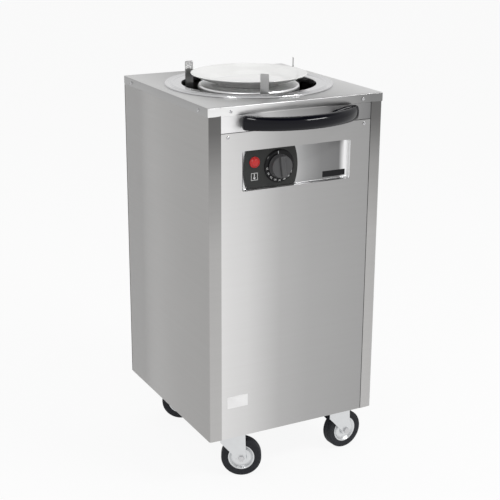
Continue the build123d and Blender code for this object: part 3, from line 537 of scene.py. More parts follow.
def draw_line(points: Sequence[Point]) -> None:
    """Draws edges through the points and selects them, in edit mode on return."""
    deselect()
    bpy.ops.mesh.primitive_plane_add(size=MM)
    edit()
    bpy.ops.mesh.merge(type="CENTER")
    bpy.ops.transform.translate(value=points[0])
    for before, after in pairwise(points):
        step = tuple(b - a for a, b in zip(before, after))
        bpy.ops.mesh.extrude_vertices_move(TRANSFORM_OT_translate={"value": step})
    select_all()


def spun(name: str, profile: Profile, sides: int) -> Piece:
    """Spins a profile, in metres, about the upright axis in so many steps."""
    draw_line([(radius, 0.0, height) for radius, height in profile])
    bpy.ops.mesh.spin(steps=sides, angle=math.tau, center=(0, 0, 0), axis=(0, 0, 1))
    close_up()
    return leave_edit(name)


def turned(
    name: str, section: Profile, sides: int, matrix: Matrix,
    sharp: float = 50.0, closed: bool = False,
) -> Piece:
    """A turned piece in place, with eased corners, and sharp edges above an angle.

    The section has each corner's radius and height in millimetres. It is a ring
    if closed, and else it starts and ends on the axis.
    """
    line = [(radius * MM, height * MM) for radius, height in section]
    line = eased(line, closed=True) if closed else [line[0], *eased(line[1:-1]), line[-1]]
    piece = put(spun(name, line, sides), matrix)
    shade_smooth(piece, sharp)
    return piece


def block(size: Point, place: Point) -> Piece:
    """A block with sharp edges."""
    deselect()
    bpy.ops.mesh.primitive_cube_add(size=1.0, location=place, scale=size)
    return settle()


def slab(name: str, size: Point, place: Point, edge: float, steps: int = 3) -> Piece:
    """A block with every edge rounded."""
    piece = block(size, place)
    piece.name = name
    modify(
        piece, "BEVEL", width=edge, segments=steps, limit_method="ANGLE",
        angle_limit=math.radians(30.0), harden_normals=False,
    )
    return piece


def raised_text(words: str, size: float, matrix: Matrix, depth: float) -> Piece:
    """Raised print as a mesh."""
    deselect()
    bpy.ops.object.text_add()
    caption = bpy.context.object.data
    caption.body, caption.size, caption.extrude = words, size, depth
    caption.align_x = caption.align_y = "CENTER"
    bpy.ops.object.convert(target="MESH")
    return put(bpy.context.object, matrix)


def eased(points: Profile, rounds: int = 2, closed: bool = False) -> list[Pair]:
    """Cuts the corners of a profile, round by round, so that it turns smoothly.

    An open profile keeps both its ends, and a closed one ends where it started.
    """
    line = list(points)
    for _ in range(rounds):
        cut = []
        for (ax, ay), (bx, by) in pairwise(line + line[:1] if closed else line):
            cut.append((ax * 0.75 + bx * 0.25, ay * 0.75 + by * 0.25))
            cut.append((ax * 0.25 + bx * 0.75, ay * 0.25 + by * 0.75))
        line = cut if closed else [line[0], *cut[1:-1], line[-1]]
    return line + line[:1] if closed else line


def declare(
    piece: Piece, body: str, finish: Finish, replaced: Iterable[str] = ()
) -> None:
    """Dresses a piece, and gives its body and the nodes it stands for."""
    piece.data.materials.clear()
    piece.data.materials.append(finish.material())
    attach(piece, body)
    for node in replaced:
        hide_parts(node)
    LOG.info("%s: %d faces, on %s", piece.name, len(piece.data.polygons), body)


def dress(frame: dict, finish: Finish, nodes: Iterable[str]) -> None:
    """Gives nodes of the frame a finish."""
    for name in nodes:
        for holder in frame["nodes"][name].material_slots:
            holder.material = finish.material()
        LOG.info("%s: %s", name, finish.name)


# The cabinet's sheets are one satin steel in lighter and darker copies: painted light and shade,
# sheet by sheet and across each sheet. The apron's stops below are painted reflection: bright at
# the left end, darkening to the right end.
APRON_PAINTED_LIGHT = (
    (-0.198, 0.96), (-0.120, 0.97), (-0.080, 0.88), (-0.02, 0.60), (0.10, 0.42), (0.198, 0.25),
)
# Side and back sheets: an even, darker copy of the steel, with the fold's painted light and shade.
SIDE_SHEET = SideSheet("side_sheet", (0.385, 0.380, 0.375), 0.36)
# Painted reflection on the front panel: bright at the left, darker to the right, and a little
# darker near the top.
FRONT_SHEET = BrushedSteel(
    "front_sheet", (1.0, 0.985, 0.975), 0.34,
    painted_light_across=((-0.198, 0.80), (-0.13, 0.72), (-0.04, 0.51), (0.04, 0.45), (0.198, 0.40)),
    upright=((0.125, 0.98), (0.50, 1.0), (0.87, 0.95)),
)
APRON_SHEET = BrushedSteel("apron_sheet", (1.0, 0.99, 1.0), 0.52, painted_light_across=APRON_PAINTED_LIGHT)
# Painted light on the lid: the top brighter at both sides than in the middle, the front rim with
# the apron's painted reflection, the side rims in the side's painted shade.
LID_SHEET = LidSheet(
    "lid_sheet", (1.0, 0.995, 0.99), 0.36,
    painted_light_across=((-0.22, 0.72), (0.0, 0.38), (0.22, 0.80)), front=APRON_PAINTED_LIGHT,
)
# Painted light in the recess: bright at the left, fading to painted shade to the right, with a
# painted highlight strip on the right wall.
RECESS_POLISH = PolishedSteel(
    "recess_polish", (1.0, 1.0, 1.01), 0.36, centre=(0.0, -0.2),
    painted_light_across=(
        (-0.14, 0.95), (-0.10, 0.80), (0.0, 0.52), (0.03, 0.38), (0.07, 0.26), (0.120, 0.22),
        (0.134, 0.96), (0.142, 0.96), (0.146, 0.55),
    ),
)
RING_POLISH = PolishedSteel("ring_polish", (0.72, 0.72, 0.73), 0.15)
DISC_POLISH = PolishedSteel("disc_polish", (0.92, 0.92, 0.92), 0.36)
BLADE_STEEL = BrushedSteel("blade_steel", (0.5, 0.5, 0.5), 0.34, streaks=(900.0, 900.0, 5.0))
ZINC = PlatedSteel("zinc_plate", (0.72, 0.73, 0.74), 0.34)
SCREW_STEEL = PlatedSteel("screw_steel", (0.60, 0.60, 0.61), 0.22)
SPANGLE = GalvanisedSteel("galvanised", (0.52, 0.53, 0.54), 0.42)
WORKS_STEEL = PlatedSteel("works_steel", (0.50, 0.50, 0.51), 0.38)
# Near-black that stands for shade: painted shade in the seams, on the front rail and the seam
# strips.
PAINTED_SEAM_SHADE = Finish("painted_seam_shade", (0.012, 0.012, 0.013), 0.6, gloss=0.1)
HEATER_SHEATH = Finish("heater_sheath", (0.10, 0.095, 0.09), 0.5, metallic=0.6)
HANDLE_GLOSS = Finish(
    "handle_gloss", (0.001, 0.001, 0.004), 0.09, relief=0.01, grain=(500.0, 2.0), gloss=0.24
)
FASCIA_FILM = Finish("fascia_film", (0.030, 0.031, 0.030), 0.36, relief=0.04, gloss=0.25)
SKIRT_GLOSS = Finish("skirt_gloss", (0.004, 0.004, 0.005), 0.18, relief=0.03, gloss=0.22)
CAP_SATIN = Finish("cap_satin", (0.075, 0.075, 0.077), 0.36, relief=0.12, gloss=0.4)
DARK_PLASTIC = Finish("dark_plastic", (0.03, 0.03, 0.032), 0.5)
PALE_PLASTIC = Finish("pale_plastic", (0.62, 0.61, 0.58), 0.45)
WHITE_PRINT = Finish("white_print", (0.78, 0.78, 0.78), 0.5, relief=0.02)
LABEL_FOIL = Finish("label_foil", (0.92, 0.91, 0.91), 0.42, metallic=0.6, relief=0.02)
CHINA = Glaze("white_glaze", (0.86, 0.86, 0.85), 0.08, coat=0.3, gloss=0.3)
TYRE_RUBBER = Rubber("tyre_rubber", (0.020, 0.021, 0.025), 0.62, gloss=0.25)


@dataclass
class Studio:
    """Camera, floor, soft lamps and a pale surround."""

    eye: Point = (-1.3320, -2.4871, 1.4288)
    forward: Point = (0.44520, 0.84139, -0.30637)
    right: Point = (0.88469, -0.46614, 0.00542)
    lens: float = 84.33
    sensor: float = 36.0
    floor_side: float = 40.0
    floor_grey: float = 0.86
    floor_lift: float = 0.90
    wall: float = 0.80
    ceiling: float = 0.096
    ceiling_rise: Pair = (0.50, 0.88)
    surround: float = 0.592
    aim: Point = (0.0, 0.0, 0.6)
    lamps: Sequence[tuple[str, Point, float, float, float]] = (
        ("left_box", (-1.95, -1.55, 2.45), 0.45, 0.32, 12.0),
        ("right_box", (1.40, -1.95, 2.60), 1.20, 0.34, 30.0),
        ("top_box", (0.0, 0.9, 3.6), 2.4, 2.4, 14.0),
    )

    def set_camera(self) -> None:
        """Puts the camera where the photograph was taken."""
        data = bpy.data.cameras.new("camera")
        data.lens = self.lens
        data.sensor_width = self.sensor
        camera = bpy.data.objects.new("camera", data)
        bpy.context.scene.collection.objects.link(camera)
        ahead = Vector(self.forward).normalized()
        side = Vector(self.right)
        side = (side - ahead * side.dot(ahead)).normalized()
        up = side.cross(ahead)
        turn = Matrix((side, up, -ahead)).transposed().to_4x4()
        camera.matrix_world = Matrix.Translation(self.eye) @ turn
        bpy.context.scene.camera = camera

    def lay_floor(self) -> None:
        """A pale floor that keeps a soft shadow."""
        deselect()
        bpy.ops.mesh.primitive_plane_add(size=self.floor_side)
        floor = bpy.context.object
        floor.name = "floor"
        material = bpy.data.materials.new("pale_floor")
        material.use_nodes = True
        graph = Graph(material.node_tree)
        lift = self.seen(graph) * self.floor_lift
        grey = rgba((self.floor_grey,) * 3)
        lit = graph.node("ShaderNodeBsdfDiffuse", values={"Color": grey})
        white = graph.node("ShaderNodeEmission", values={"Strength": 1.0})
        mix = graph.node("ShaderNodeMixShader", values={0: lift, 1: lit, 2: white})
        graph.node("ShaderNodeOutputMaterial", values={"Surface": mix})
        floor.data.materials.append(material)

    @staticmethod
    def seen(graph: Graph) -> Wire:
        """1 for rays from the camera, a reflection or a refraction, else 0."""
        rays = [
            graph.node("ShaderNodeLightPath", output=f"Is {kind} Ray")
            for kind in ("Camera", "Glossy", "Transmission")
        ]
        return (rays[0] + rays[1] + rays[2]).math("MINIMUM", 1.0)

    def light_surround(self) -> None:
        """White behind the object, walls and a dark ceiling in reflections, and grey as light."""
        world = bpy.data.worlds.new("surround")
        world.use_nodes = True
        bpy.context.scene.world = world
        graph = Graph(world.node_tree)
        place = graph.node("ShaderNodeTexCoord", output="Generated")
        rise = graph.part(place, "Z").ramp(*self.ceiling_rise)
        wall = self.wall - rise * (self.wall - self.ceiling)
        seen = self.seen(graph)
        camera = graph.node("ShaderNodeLightPath", output="Is Camera Ray")
        strength = camera + (seen - camera) * wall + (1.0 - seen) * self.surround
        values = {"Color": (1, 1, 1, 1), "Strength": strength}
        shade = graph.node("ShaderNodeBackground", values=values)
        graph.node("ShaderNodeOutputWorld", values={"Surface": shade})

    def hang_lamps(self) -> None:
        """Three soft boxes: two narrow ones high in front and a broad one overhead."""
        for name, place, width, height, power in self.lamps:
            data = bpy.data.lights.new(name, "AREA")
            data.shape = "RECTANGLE"
            data.size, data.size_y, data.energy = width, height, power
            lamp = bpy.data.objects.new(name, data)
            bpy.context.scene.collection.objects.link(lamp)
            aim = Vector(self.aim) - Vector(place)
            lamp.location = place
            lamp.rotation_euler = aim.to_track_quat("-Z", "Y").to_euler()

    def build(self) -> None:
        """Sets up everything that isn't the object."""
        self.set_camera()
        self.lay_floor()
        self.light_surround()
        self.hang_lamps()
        bpy.context.scene.view_settings.view_transform = "Standard"


@dataclass
class Screws:
    """Cross-recessed pan-head screws.

    The dome is the head's outline, and the cross its recess's length, width
    and depth, as shares of the head's radius and height.
    """

    head_radius: float = 4.0 * MM
    head_height: float = 2.2 * MM
    shank_radius: float = 2.0 * MM
    length: float = 8.0 * MM
    dome: Profile = ((0, 1), (0.55, 1), (0.93, 0.75), (1, 0.2), (1, 0))
    cross: Point = (0.95, 0.24, 0.9)
    sides: int = 20
    turn_each: float = 0.35

    def model(self, name: str) -> Piece:
        """One screw that points along -Z with its head above Z = 0."""
        radius, height = self.head_radius, self.head_height
        head = eased([(radius * x, height * z) for x, z in self.dome])
        shank = [(self.shank_radius, 0), (self.shank_radius, -self.length), (0, -self.length)]
        screw = spun(name, head + shank, self.sides)
        long, wide, deep = self.cross
        for x, y in ((long, wide), (wide, long)):
            blade = block((radius * x, radius * y, height * deep), (0, 0, height))
            carve(screw, blade)
        shade_smooth(screw)
        return screw

    def drive(self, name: str, places: Sequence[tuple[Point, float]]) -> Piece:
        """Copies of the screw at each place, turned about Z by its angle from the front."""
        pattern = self.model("pattern")
        made = []
        for index, (place, turn) in enumerate(places):
            matrix = Matrix.Translation(place) @ Matrix.Rotation(turn, 4, "Z") @ FORWARDS
            matrix = matrix @ Matrix.Rotation(self.turn_each * index, 4, "Z")
            twin = pattern.copy()
            twin.data = pattern.data.copy()
            bpy.context.scene.collection.objects.link(twin)
            made.append(put(twin, matrix))
        bpy.data.objects.remove(pattern)
        return join(made, name)


@dataclass
class Cabinet:
    """Sheet-metal body, its screws, the blank badge and the blank label.

    Each draw of the recess is how much narrower, lower and deeper it gets, in
    millimetres. The badge and the label are each a size and a place.
    """

    rim_screw: Point = (0.174, 0.196, 0.926)
    panel_screw: Pair = (0.180, 0.867)
    half_width: float = 0.230
    half_depth: float = 0.245
    rim_drop: float = 22.0 * MM
    lid_edges: Pair = (2.4 * MM, 1.2 * MM)
    lid_clearance: float = 10.0 * MM
    hole_radius: float = 0.190
    hole_reach: Pair = (0.90, 0.95)
    sheet: float = 1.2 * MM
    bend: float = 4.0 * MM
    bend_steps: int = 5
    foot_z: float = 0.125
    panel_top: float = 0.9366
    side_path: Profile = ((0.1980, FACE_Y), (0.2288, FACE_Y), (0.2288, 0.2853), (0.2088, 0.2853))
    recess_half: Pair = (0.144, 0.047)
    recess_corner: float = 5.0 * MM
    recess_place: Point = (0.0, FACE_Y + 0.3 * MM, 0.7855)
    recess_draws: Sequence[Point] = (
        (0.6, 0.2, 0.5), (1.2, 0.3, 2.0), (2.6, 0.4, 5.0), (2.2, 0.3, 2.6), (1.6, 0.3, 0.9),
    )
    recess_sheet: float = 0.8 * MM
    # Size and place of the near-black seam strips: painted shade standing for the gaps.
    gap: Pair = (1.1 * MM, 0.4 * MM)
    gap_place: Pair = (0.1978, FACE_Y + 0.12 * MM)
    badge: tuple[Point, Point] = ((0.062, 0.0012, 0.0145), (0.1060, -0.1909, 0.7525))
    label: tuple[Point, Point] = ((0.055, 0.0003, 0.030), (-0.1545, -0.20245, 0.219))

    def drive_screws(self) -> None:
        """Rim and panel screws with their cross recesses."""
        x, y, z = self.rim_screw
        rim = [((side * x, WELL_Y - self.half_depth, z), 0.0) for side in SIDES]
        for side, end in product(SIDES, SIDES):
            rim.append(((side * self.half_width, WELL_Y + end * y, z), side * math.pi / 2))
        x, z = self.panel_screw
        panel = [((side * x, FACE_Y, z), 0.0) for side in SIDES]
        for kind, places in (("rim", rim), ("panel", panel)):
            heads = Screws().drive(f"{kind}_screw_heads", places)
            declare(heads, "cabinet", SCREW_STEEL, [f"{kind}_screws"])

    def fix_plates(self) -> None:
        """The blank badge in the recess and the blank label low on the front."""
        badge = slab("blank_badge", *self.badge, edge=0.4 * MM)
        declare(badge, "cabinet", SKIRT_GLOSS)
        label = slab("blank_label", *self.label, edge=0.1 * MM)
        declare(label, "cabinet", LABEL_FOIL)

    def fold_side(self, name: str, side: int) -> Piece:
        """A side panel folded from one sheet, on the left if side is -1 and the right if 1."""
        draw_line([(side * x, y, self.foot_z) for x, y in self.side_path])
        bpy.ops.mesh.bevel(offset=self.bend, segments=self.bend_steps, affect="VERTICES")
        select_all()
        rise = {"value": (0, 0, self.panel_top - self.foot_z)}
        bpy.ops.mesh.extrude_edges_move(TRANSFORM_OT_translate=rise)
        panel = leave_edit(name)
        modify(panel, "SOLIDIFY", thickness=self.sheet, offset=side)
        seal()
        shade_smooth(panel)
        return panel

    def press_lid(self) -> Piece:
        """The lid: a shallow pan, rounded along its edges, with the well's hole."""
        width, depth, drop = 2 * self.half_width, 2 * self.half_depth, self.rim_drop
        outer, inner = self.lid_edges
        place = (0, WELL_Y, LID_TOP - drop / 2)
        lid = slab("lid_pan", (width, depth, drop), place, outer, steps=4)
        drop += self.lid_clearance
        size = (width - 2 * self.sheet, depth - 2 * self.sheet, drop)
        place = (0, WELL_Y, LID_TOP - self.sheet - drop / 2)
        carve(lid, slab("hollow", size, place, inner))
        low, high = self.hole_reach
        section = ((0, low), (self.hole_radius, low), (self.hole_radius, high), (0, high))
        carve(lid, put(spun("plug", section, sides=128), AT_WELL))
        shade_smooth(lid)
        return lid

    def press_recess(self) -> Piece:
        """The pan round the controls, drawn deeper in steps from the panel's opening."""
        wide, tall = self.recess_half
        deselect()
        bpy.ops.mesh.primitive_plane_add(size=1.0)
        bpy.ops.transform.resize(value=(2 * wide, 2 * tall, 1.0))
        settle()
        edit()
        select_all()
        bpy.ops.mesh.bevel(offset=self.recess_corner, segments=self.bend_steps, affect="VERTICES")
        select_all()
        bpy.ops.mesh.delete(type="ONLY_FACE")
        select_all()
        for narrower, lower, deeper in self.recess_draws:
            wide, before_x = wide - narrower * MM, wide
            tall, before_y = tall - lower * MM, tall
            step = {"value": (0, 0, -deeper * MM)}
            bpy.ops.mesh.extrude_edges_move(TRANSFORM_OT_translate=step)
            shrink = (wide / before_x, tall / before_y, 1.0)
            bpy.ops.transform.resize(value=shrink, center_override=(0, 0, 0))
        bpy.ops.mesh.edge_face_add()
        close_up()
        recess = leave_edit("drawn_recess")
        modify(recess, "SOLIDIFY", thickness=self.recess_sheet, offset=1.0)
        put(recess, Matrix.Translation(self.recess_place) @ FORWARDS)
        shade_smooth(recess, angle=60)
        return recess

    def build(self) -> None:
        """Makes the sheets whose rounded folds show, and fits the body out."""
        for name, side in zip(("left", "right"), SIDES):
            panel = self.fold_side(f"folded_side_{name}", side)
            declare(panel, "cabinet", SIDE_SHEET, [f"side_panel_{name}"])
        declare(self.press_lid(), "cabinet", LID_SHEET, ["top_cover"])
        declare(self.press_recess(), "cabinet", RECESS_POLISH, ["control_recess"])
        # Thin near-black strips in the seams beside the front panel: painted shade where the gaps
        # are.
        size = (*self.gap, LID_TOP - self.rim_drop - self.foot_z)
        x, y = self.gap_place
        z = self.foot_z + size[2] / 2
        strips = [slab("strip", size, (side * x, y, z), edge=0.08 * MM, steps=1) for side in SIDES]
        declare(join(strips, "gap_shade_strips"), "cabinet", PAINTED_SEAM_SHADE)
        self.drive_screws()
        self.fix_plates()


@dataclass
class WellPiece:
    """A piece turned about the well's axis, with its section in millimetres."""

    name: str
    body: str
    finish: Finish
    slot: str
    node: str
    sides: int
    section: Profile
    closed: bool = False

    def build(self) -> None:
        """Turns the piece."""
        piece = turned(self.name, self.section, self.sides, AT_WELL, closed=self.closed)
        declare(piece, self.body, self.finish, [self.node])


TRIM_RING = WellPiece(
    "trim_ring", "cabinet", RING_POLISH, "polished_steel", "well_ring", 160,
    (
        (165.0, 926), (165.0, 940.2), (166.0, 941.4), (168.5, 941.5), (183.0, 941.5),
        (185.2, 941.6), (186.6, 943.0), (190.4, 943.0), (191.8, 940.6), (194.5, 940.4),
        (200.0, 941.8), (204.4, 942.6), (206.0, 941.4), (206.0, 938), (204.0, 938.0),
        (166.5, 938.0), (166.5, 936.5), (166.5, 926),
    ),
    closed=True,
)
LIFT_DISC = WellPiece(
    "lift_disc", "carrier", DISC_POLISH, "polished_steel", "carrier_disc", 128,
    (
        (0, 940), (112, 940), (119.5, 939.6), (123.6, 937.2), (125, 932.8), (125, 926),
        (123.5, 926), (123.5, 932.6), (121.8, 936.2), (118.6, 938.1), (112, 938.5), (0, 938.5),
    ),
)
PLATE = WellPiece(
    "china_plate", "plate", CHINA, "white_china", "dinner_plate", 144,
    (
        (0, 944.3), (84, 944.5), (92, 946.0), (103, 952.6), (124, 959.0), (139.5, 965.0),
        (142.2, 966.0), (143, 965.0), (142, 963.4), (124, 955.0), (104, 948.2), (90, 943.2),
        (85.5, 940.4), (84, 940.0), (80.5, 940.0), (79.5, 941.6), (76, 941.9), (0, 941.9),
    ),
)


@dataclass
class Controls:
    """Fittings of the dark fascia: pilot lamp, heat icon and thermostat dial.

    The lens, skirt and cap are sections in millimetres.
    """

    fascia_y: float = -0.1933
    lamp: Pair = (-0.108, 0.802)
    dial: Pair = (-0.044, 0.7875)
    dial_lift: float = 0.6 * MM
    icon: Pair = (-0.108, 0.768)
    icon_side: float = 17.0 * MM
    icon_line: float = 0.9 * MM
    icon_rise: float = 0.12 * MM
    bulb_radius: float = 2.7 * MM
    bulb_y: float = -3.2 * MM
    stem: Point = (1.9 * MM, 9.6 * MM, 1.4 * MM)
    lean: float = 8.0
    grip: tuple[Point, Point] = ((11.0 * MM, 51.0 * MM, 11.0 * MM), (0.0, 0.0, 17.5 * MM))
    mark: tuple[Point, Point] = ((1.6 * MM, 7.0 * MM, 0.3 * MM), (0.0, 32.5 * MM, 4.1 * MM))
    numbers: Sequence[str] = ("30", "40", "50", "60", "70", "80", "90", "100")
    numbers_from: float = 186.0
    numbers_step: float = 21.0
    numbers_place: Point = (0.0, 33.3 * MM, 4.15 * MM)
    numbers_depth: float = 0.06 * MM
    number_sizes: Pair = (6.2 * MM, 5.2 * MM)
    lens: Profile = (
        (0, 8.2), (4.5, 8.0), (8.6, 6.4), (11.0, 3.6), (11.2, 2.6), (12.2, 2.8), (13.0, 2.2),
        (13.0, 0.0), (0, 0.0),
    )
    skirt: Profile = (
        (0, 0), (38.6, 0), (39.0, 0.5), (38.8, 1.4), (36.8, 3.6), (35.6, 4.0), (28.6, 4.2),
        (0, 4.2),
    )
    cap: Profile = (
        (0, 4.0), (28.3, 4.0), (28.3, 5.2), (27.2, 6.2), (26.4, 16.2), (25.2, 17.8), (23.2, 18.0),
        (0, 18.0),
    )
    sharp: float = 38.0

    def facing(self, x: float, z: float, lift: float = 0.0) -> Matrix:
        """Stands a piece that points along +Z on the fascia, so that it points forwards."""
        return Matrix.Translation((x, self.fascia_y - lift, z)) @ FORWARDS

    def fit_lamp(self) -> None:
        """The red lens with its collar."""
        x, z = self.lamp
        lens = turned("lamp_dome", self.lens, 64, self.facing(x, z), self.sharp)
        finish = LampLens("red_lens", (0.62, 0.010, 0.014), 0.5, coat=0.6, centre=(x, 0.0, z))
        declare(lens, "cabinet", finish, ["lamp_lens"])

    def print_icon(self) -> None:
        """A square frame round a plain thermometer mark."""
        deselect()
        bpy.ops.mesh.primitive_plane_add(size=self.icon_side)
        edit()
        bpy.ops.mesh.inset(thickness=self.icon_line, depth=0.0)
        bpy.ops.mesh.delete(type="FACE")
        select_all()
        bpy.ops.mesh.extrude_region_move(TRANSFORM_OT_translate={"value": (0, 0, self.icon_rise)})
        close_up()
        border = leave_edit()
        deselect()
        thick = 2 * self.icon_rise
        bpy.ops.mesh.primitive_cylinder_add(
            vertices=24, radius=self.bulb_radius, depth=thick, location=(0, self.bulb_y, 0)
        )
        bulb = bpy.context.object
        width, length, y = self.stem
        stem = slab("stem", (width, length, thick), (0, y, 0), edge=0.1 * MM, steps=1)
        icon = join([border, bulb, stem], "heat_icon")
        put(icon, self.facing(*self.icon))
        declare(icon, "cabinet", WHITE_PRINT)

    def print_numbers(self, matrix: Matrix, lean: Matrix) -> Piece:
        """The scale's numbers on the skirt, with the mark at its start."""
        mark = slab("dial_mark", *self.mark, edge=0.1 * MM, steps=1)
        prints = [put(mark, matrix @ lean)]
        for index, words in enumerate(self.numbers):
            angle = math.radians(self.numbers_from + index * self.numbers_step) - math.pi / 2
            place = Matrix.Rotation(angle, 4, "Z") @ Matrix.Translation(self.numbers_place)
            size = self.number_sizes[len(words) > 2]
            prints.append(raised_text(words, size, matrix @ place, self.numbers_depth))
        return join(prints, "dial_numbers")

    def fit_dial(self) -> None:
        """Skirt with numbers, satin cap and a raised grip bar with its mark."""
        matrix = self.facing(*self.dial, self.dial_lift)
        lean = Matrix.Rotation(math.radians(self.lean), 4, "Z")
        skirt = turned("dial_skirt", self.skirt, 96, matrix, self.sharp)
        cap = turned("dial_cap", self.cap, 96, matrix, self.sharp)
        grip = put(slab("dial_grip", *self.grip, edge=1.6 * MM, steps=4), matrix @ lean)
        shade_smooth(grip)
        dressed = (
            (skirt, SKIRT_GLOSS, "black_gloss_plastic"),
            (cap, CAP_SATIN, "black_plastic"),
            (grip, CAP_SATIN, "black_plastic"),
            (self.print_numbers(matrix, lean), WHITE_PRINT, "white_plastic"),
        )
        for piece, finish, slot in dressed:
            declare(piece, "dial", finish, ["control_knob"])

    def build(self) -> None:
        """Fits the fascia out."""
        self.fit_lamp()
        self.print_icon()
        self.fit_dial()


@dataclass
class Handle:
    """Glossy bow that hooks back to the apron and turns inwards as feet.

    The tail's rows are shares: of the way along the foot, of its thickness and
    of the grip's height.
    """

    height: float = 0.900
    reach: float = 84.2 * MM
    span: float = 304.0 * MM
    grip: Pair = (27.0 * MM, 32.0 * MM)
    foot: float = 10.0 * MM
    hook: float = 15.0 * MM
    foot_end: float = 90.0 * MM
    bow_steps: int = 18
    hook_steps: int = 12
    taper: float = 2.6
    hook_drop: float = 3.0 * MM
    tail: Sequence[Point] = (
        (0.3, 1.0, 0.80), (0.6, 1.0, 0.62), (0.85, 1.0, 0.50), (1.0, 0.6, 0.30),
    )
    screw_x: float = 97.0 * MM
    sides: int = 28

    def stations(self) -> list[tuple[float, ...]]:
        """Centre, heading, thickness and height of each section, from the middle to a foot."""
        thick, tall = self.grip
        foot = self.foot
        mid_y = self.reach - thick / 2
        bend = self.hook - foot / 2
        turn_x, turn_y = self.span / 2 - foot / 2 - bend, foot / 2 + bend
        rise = mid_y - turn_y
        radius = (turn_x**2 + rise**2 - bend**2) / (2 * (rise - bend))
        centre_y = mid_y - radius
        leave = math.atan2(turn_x, turn_y - centre_y)
        made = []
        for step in range(self.bow_steps + 1):
            share = step / self.bow_steps
            angle = leave * share
            made.append((
                radius * math.sin(angle), centre_y + radius * math.cos(angle), -angle,
                thick + (foot - thick) * share**self.taper, tall,
            ))
        for step in range(1, self.hook_steps + 1):
            share = step / self.hook_steps
            angle = leave + (math.pi - leave) * share
            made.append((
                turn_x + bend * math.sin(angle), turn_y + bend * math.cos(angle), -angle,
                foot, tall - self.hook_drop * max(0.0, 2 * share - 1),
            ))
        for share, thinner, lower in self.tail:
            x = turn_x + (self.foot_end - turn_x) * share
            made.append((x, foot / 2, -math.pi, foot * thinner, tall * lower))
        return made

    def sweep(self) -> Piece:
        """Half the bow ring by ring, and its mirror image."""
        stations = self.stations()
        x, y, _, thick, tall = stations[0]
        deselect()
        bpy.ops.mesh.primitive_circle_add(
            vertices=self.sides, radius=1.0, location=(x, -y, 0), rotation=(0, math.pi / 2, 0)
        )
        settle()
        edit()
        bpy.ops.transform.resize(value=(1.0, thick / 2, tall / 2), center_override=(x, -y, 0))
        for before, (x, y, heading, thick, tall) in pairwise(stations):
            step = (x - before[0], before[1] - y, 0.0)
            bpy.ops.mesh.extrude_region_move(TRANSFORM_OT_translate={"value": step})
            turn = heading - before[2]
            bpy.ops.transform.rotate(value=turn, orient_axis="Z", center_override=(x, -y, 0))
            flat = thick / before[3]
            shrink = (flat, flat, tall / before[4])
            bpy.ops.transform.resize(value=shrink, center_override=(x, -y, 0))
        bpy.ops.mesh.edge_face_add()
        bow = leave_edit("bow_handle")
        modify(bow, "MIRROR", use_clip=True, merge_threshold=1e-5)
        return seal()

    def build(self) -> None:
        """Puts the bow on the apron with its two screws."""
        bow = put(self.sweep(), Matrix.Translation((0, FACE_Y, self.height)))
        shade_smooth(bow, angle=60)
        declare(bow, "cabinet", HANDLE_GLOSS, ["push_handle"])
        screws = Screws(
            head_radius=5.0 * MM, head_height=3.0 * MM, shank_radius=2.5 * MM, length=20.0 * MM
        )
        places = [((side * self.screw_x, FACE_Y - self.foot, self.height), 0.0) for side in SIDES]
        heads = screws.drive("handle_screw_heads", places)
        declare(heads, "cabinet", SCREW_STEEL, ["handle_screws"])


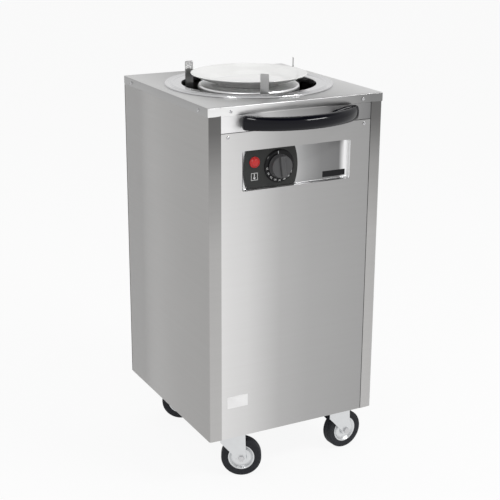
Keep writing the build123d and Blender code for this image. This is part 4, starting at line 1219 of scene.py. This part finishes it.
@dataclass
class Castor:
    """The wheel of one swivel castor, with its tyre's and rim's sections in millimetres."""

    corner: str
    x: float
    y: float
    heading: float
    trail: float = 30.0 * MM
    axle_z: float = 50.0 * MM
    tyre_half: Profile = (
        (31.6, 12.5), (33.6, 13.9), (37.0, 14.2), (38.4, 14.6), (39.8, 14.2), (43.6, 14.9),
        (47.0, 14.6), (49.2, 12.8), (50.0, 10.4), (50.0, 6.9), (49.7, 6.4), (48.4, 6.0),
        (48.4, 4.6), (49.7, 4.2), (50.0, 3.7),
    )
    rim_half: Profile = (
        (5.05, 17.0), (9.5, 17.0), (11.6, 16.4), (12.0, 14.0), (12.6, 9.5), (15.0, 7.2),
        (22.0, 6.6), (25.6, 8.4), (28.2, 11.2), (29.8, 13.0), (31.6, 13.9), (32.8, 13.4),
        (32.4, 12.0), (31.4, 11.6),
    )

    def on_axle(self) -> Matrix:
        """Lays a piece turned about Z on this castor's axle."""
        stem = Matrix.Translation((self.x, self.y, 0))
        turn = Matrix.Rotation(math.radians(self.heading), 4, "Z")
        return stem @ turn @ Matrix.Translation((self.trail, 0, self.axle_z)) @ FORWARDS

    def turn(self, name: str, half: Profile, sides: int) -> Piece:
        """A ring on the axle, whose section is half and its mirror image."""
        whole = [*half, *((radius, -z) for radius, z in reversed(half))]
        return turned(f"{name}_{self.corner}", whole, sides, self.on_axle(), closed=True)

    def build(self) -> None:
        """Makes the tyre and the rim."""
        node = f"castor_{self.corner}"
        tyre = self.turn("tread", self.tyre_half, 96)
        declare(tyre, f"{node}_wheel", TYRE_RUBBER, [f"{node}_tyre"])
        rim = self.turn("disc_rim", self.rim_half, 64)
        declare(rim, f"{node}_wheel", ZINC, [f"{node}_rim"])


CASTORS = (
    Castor("fl", -0.150, WELL_Y - 0.190, -27.3),
    Castor("fr", 0.150, WELL_Y - 0.190, 5.0),
    Castor("rl", -0.150, WELL_Y + 0.172, -27.3),
    Castor("rr", 0.150, WELL_Y + 0.172, -20.0),
)
DRESSED = (
    (SIDE_SHEET, ["back_panel"]),
    (FRONT_SHEET, ["front_panel"]),
    (APRON_SHEET, ["front_apron"]),
    # The front rail is near-black: painted shade showing through the seam in front of it.
    (PAINTED_SEAM_SHADE, ["front_rail"]),
    (SPANGLE, ["base_tray", "cage_base", "heater_brackets"]),
    (BLADE_STEEL, [f"plate_guide_{side}" for side in ("front", "right", "left")]),
    (WORKS_STEEL, ["guide_brackets", "rod_brackets", "lift_rods", "carrier_springs"]),
    (WORKS_STEEL, ["carrier_column", "carrier_spider", "thermostat_body", "thermostat_shaft"]),
    (PALE_PLASTIC, ["carrier_bushes", "terminal_block"]),
    (FASCIA_FILM, ["control_fascia"]),
    (DARK_PLASTIC, ["lamp_body", "cable_gland"]),
    (HEATER_SHEATH, ["heater_element"]),
    (ZINC, ["castor_plates", "castor_bolts", *(f"castor_{c.corner}_fork" for c in CASTORS)]),
    (SCREW_STEEL, [f"castor_{c.corner}_axle" for c in CASTORS]),
)


def main() -> None:
    """Builds the scene in order."""
    logging.basicConfig(level=logging.INFO, format="%(message)s")
    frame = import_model()
    for finish, nodes in DRESSED:
        dress(frame, finish, nodes)
    parts = (Studio(), Cabinet(), TRIM_RING, LIFT_DISC, PLATE, Controls(), Handle(), *CASTORS)
    for part in parts:
        part.build()


if __name__ == "__main__":
    main()
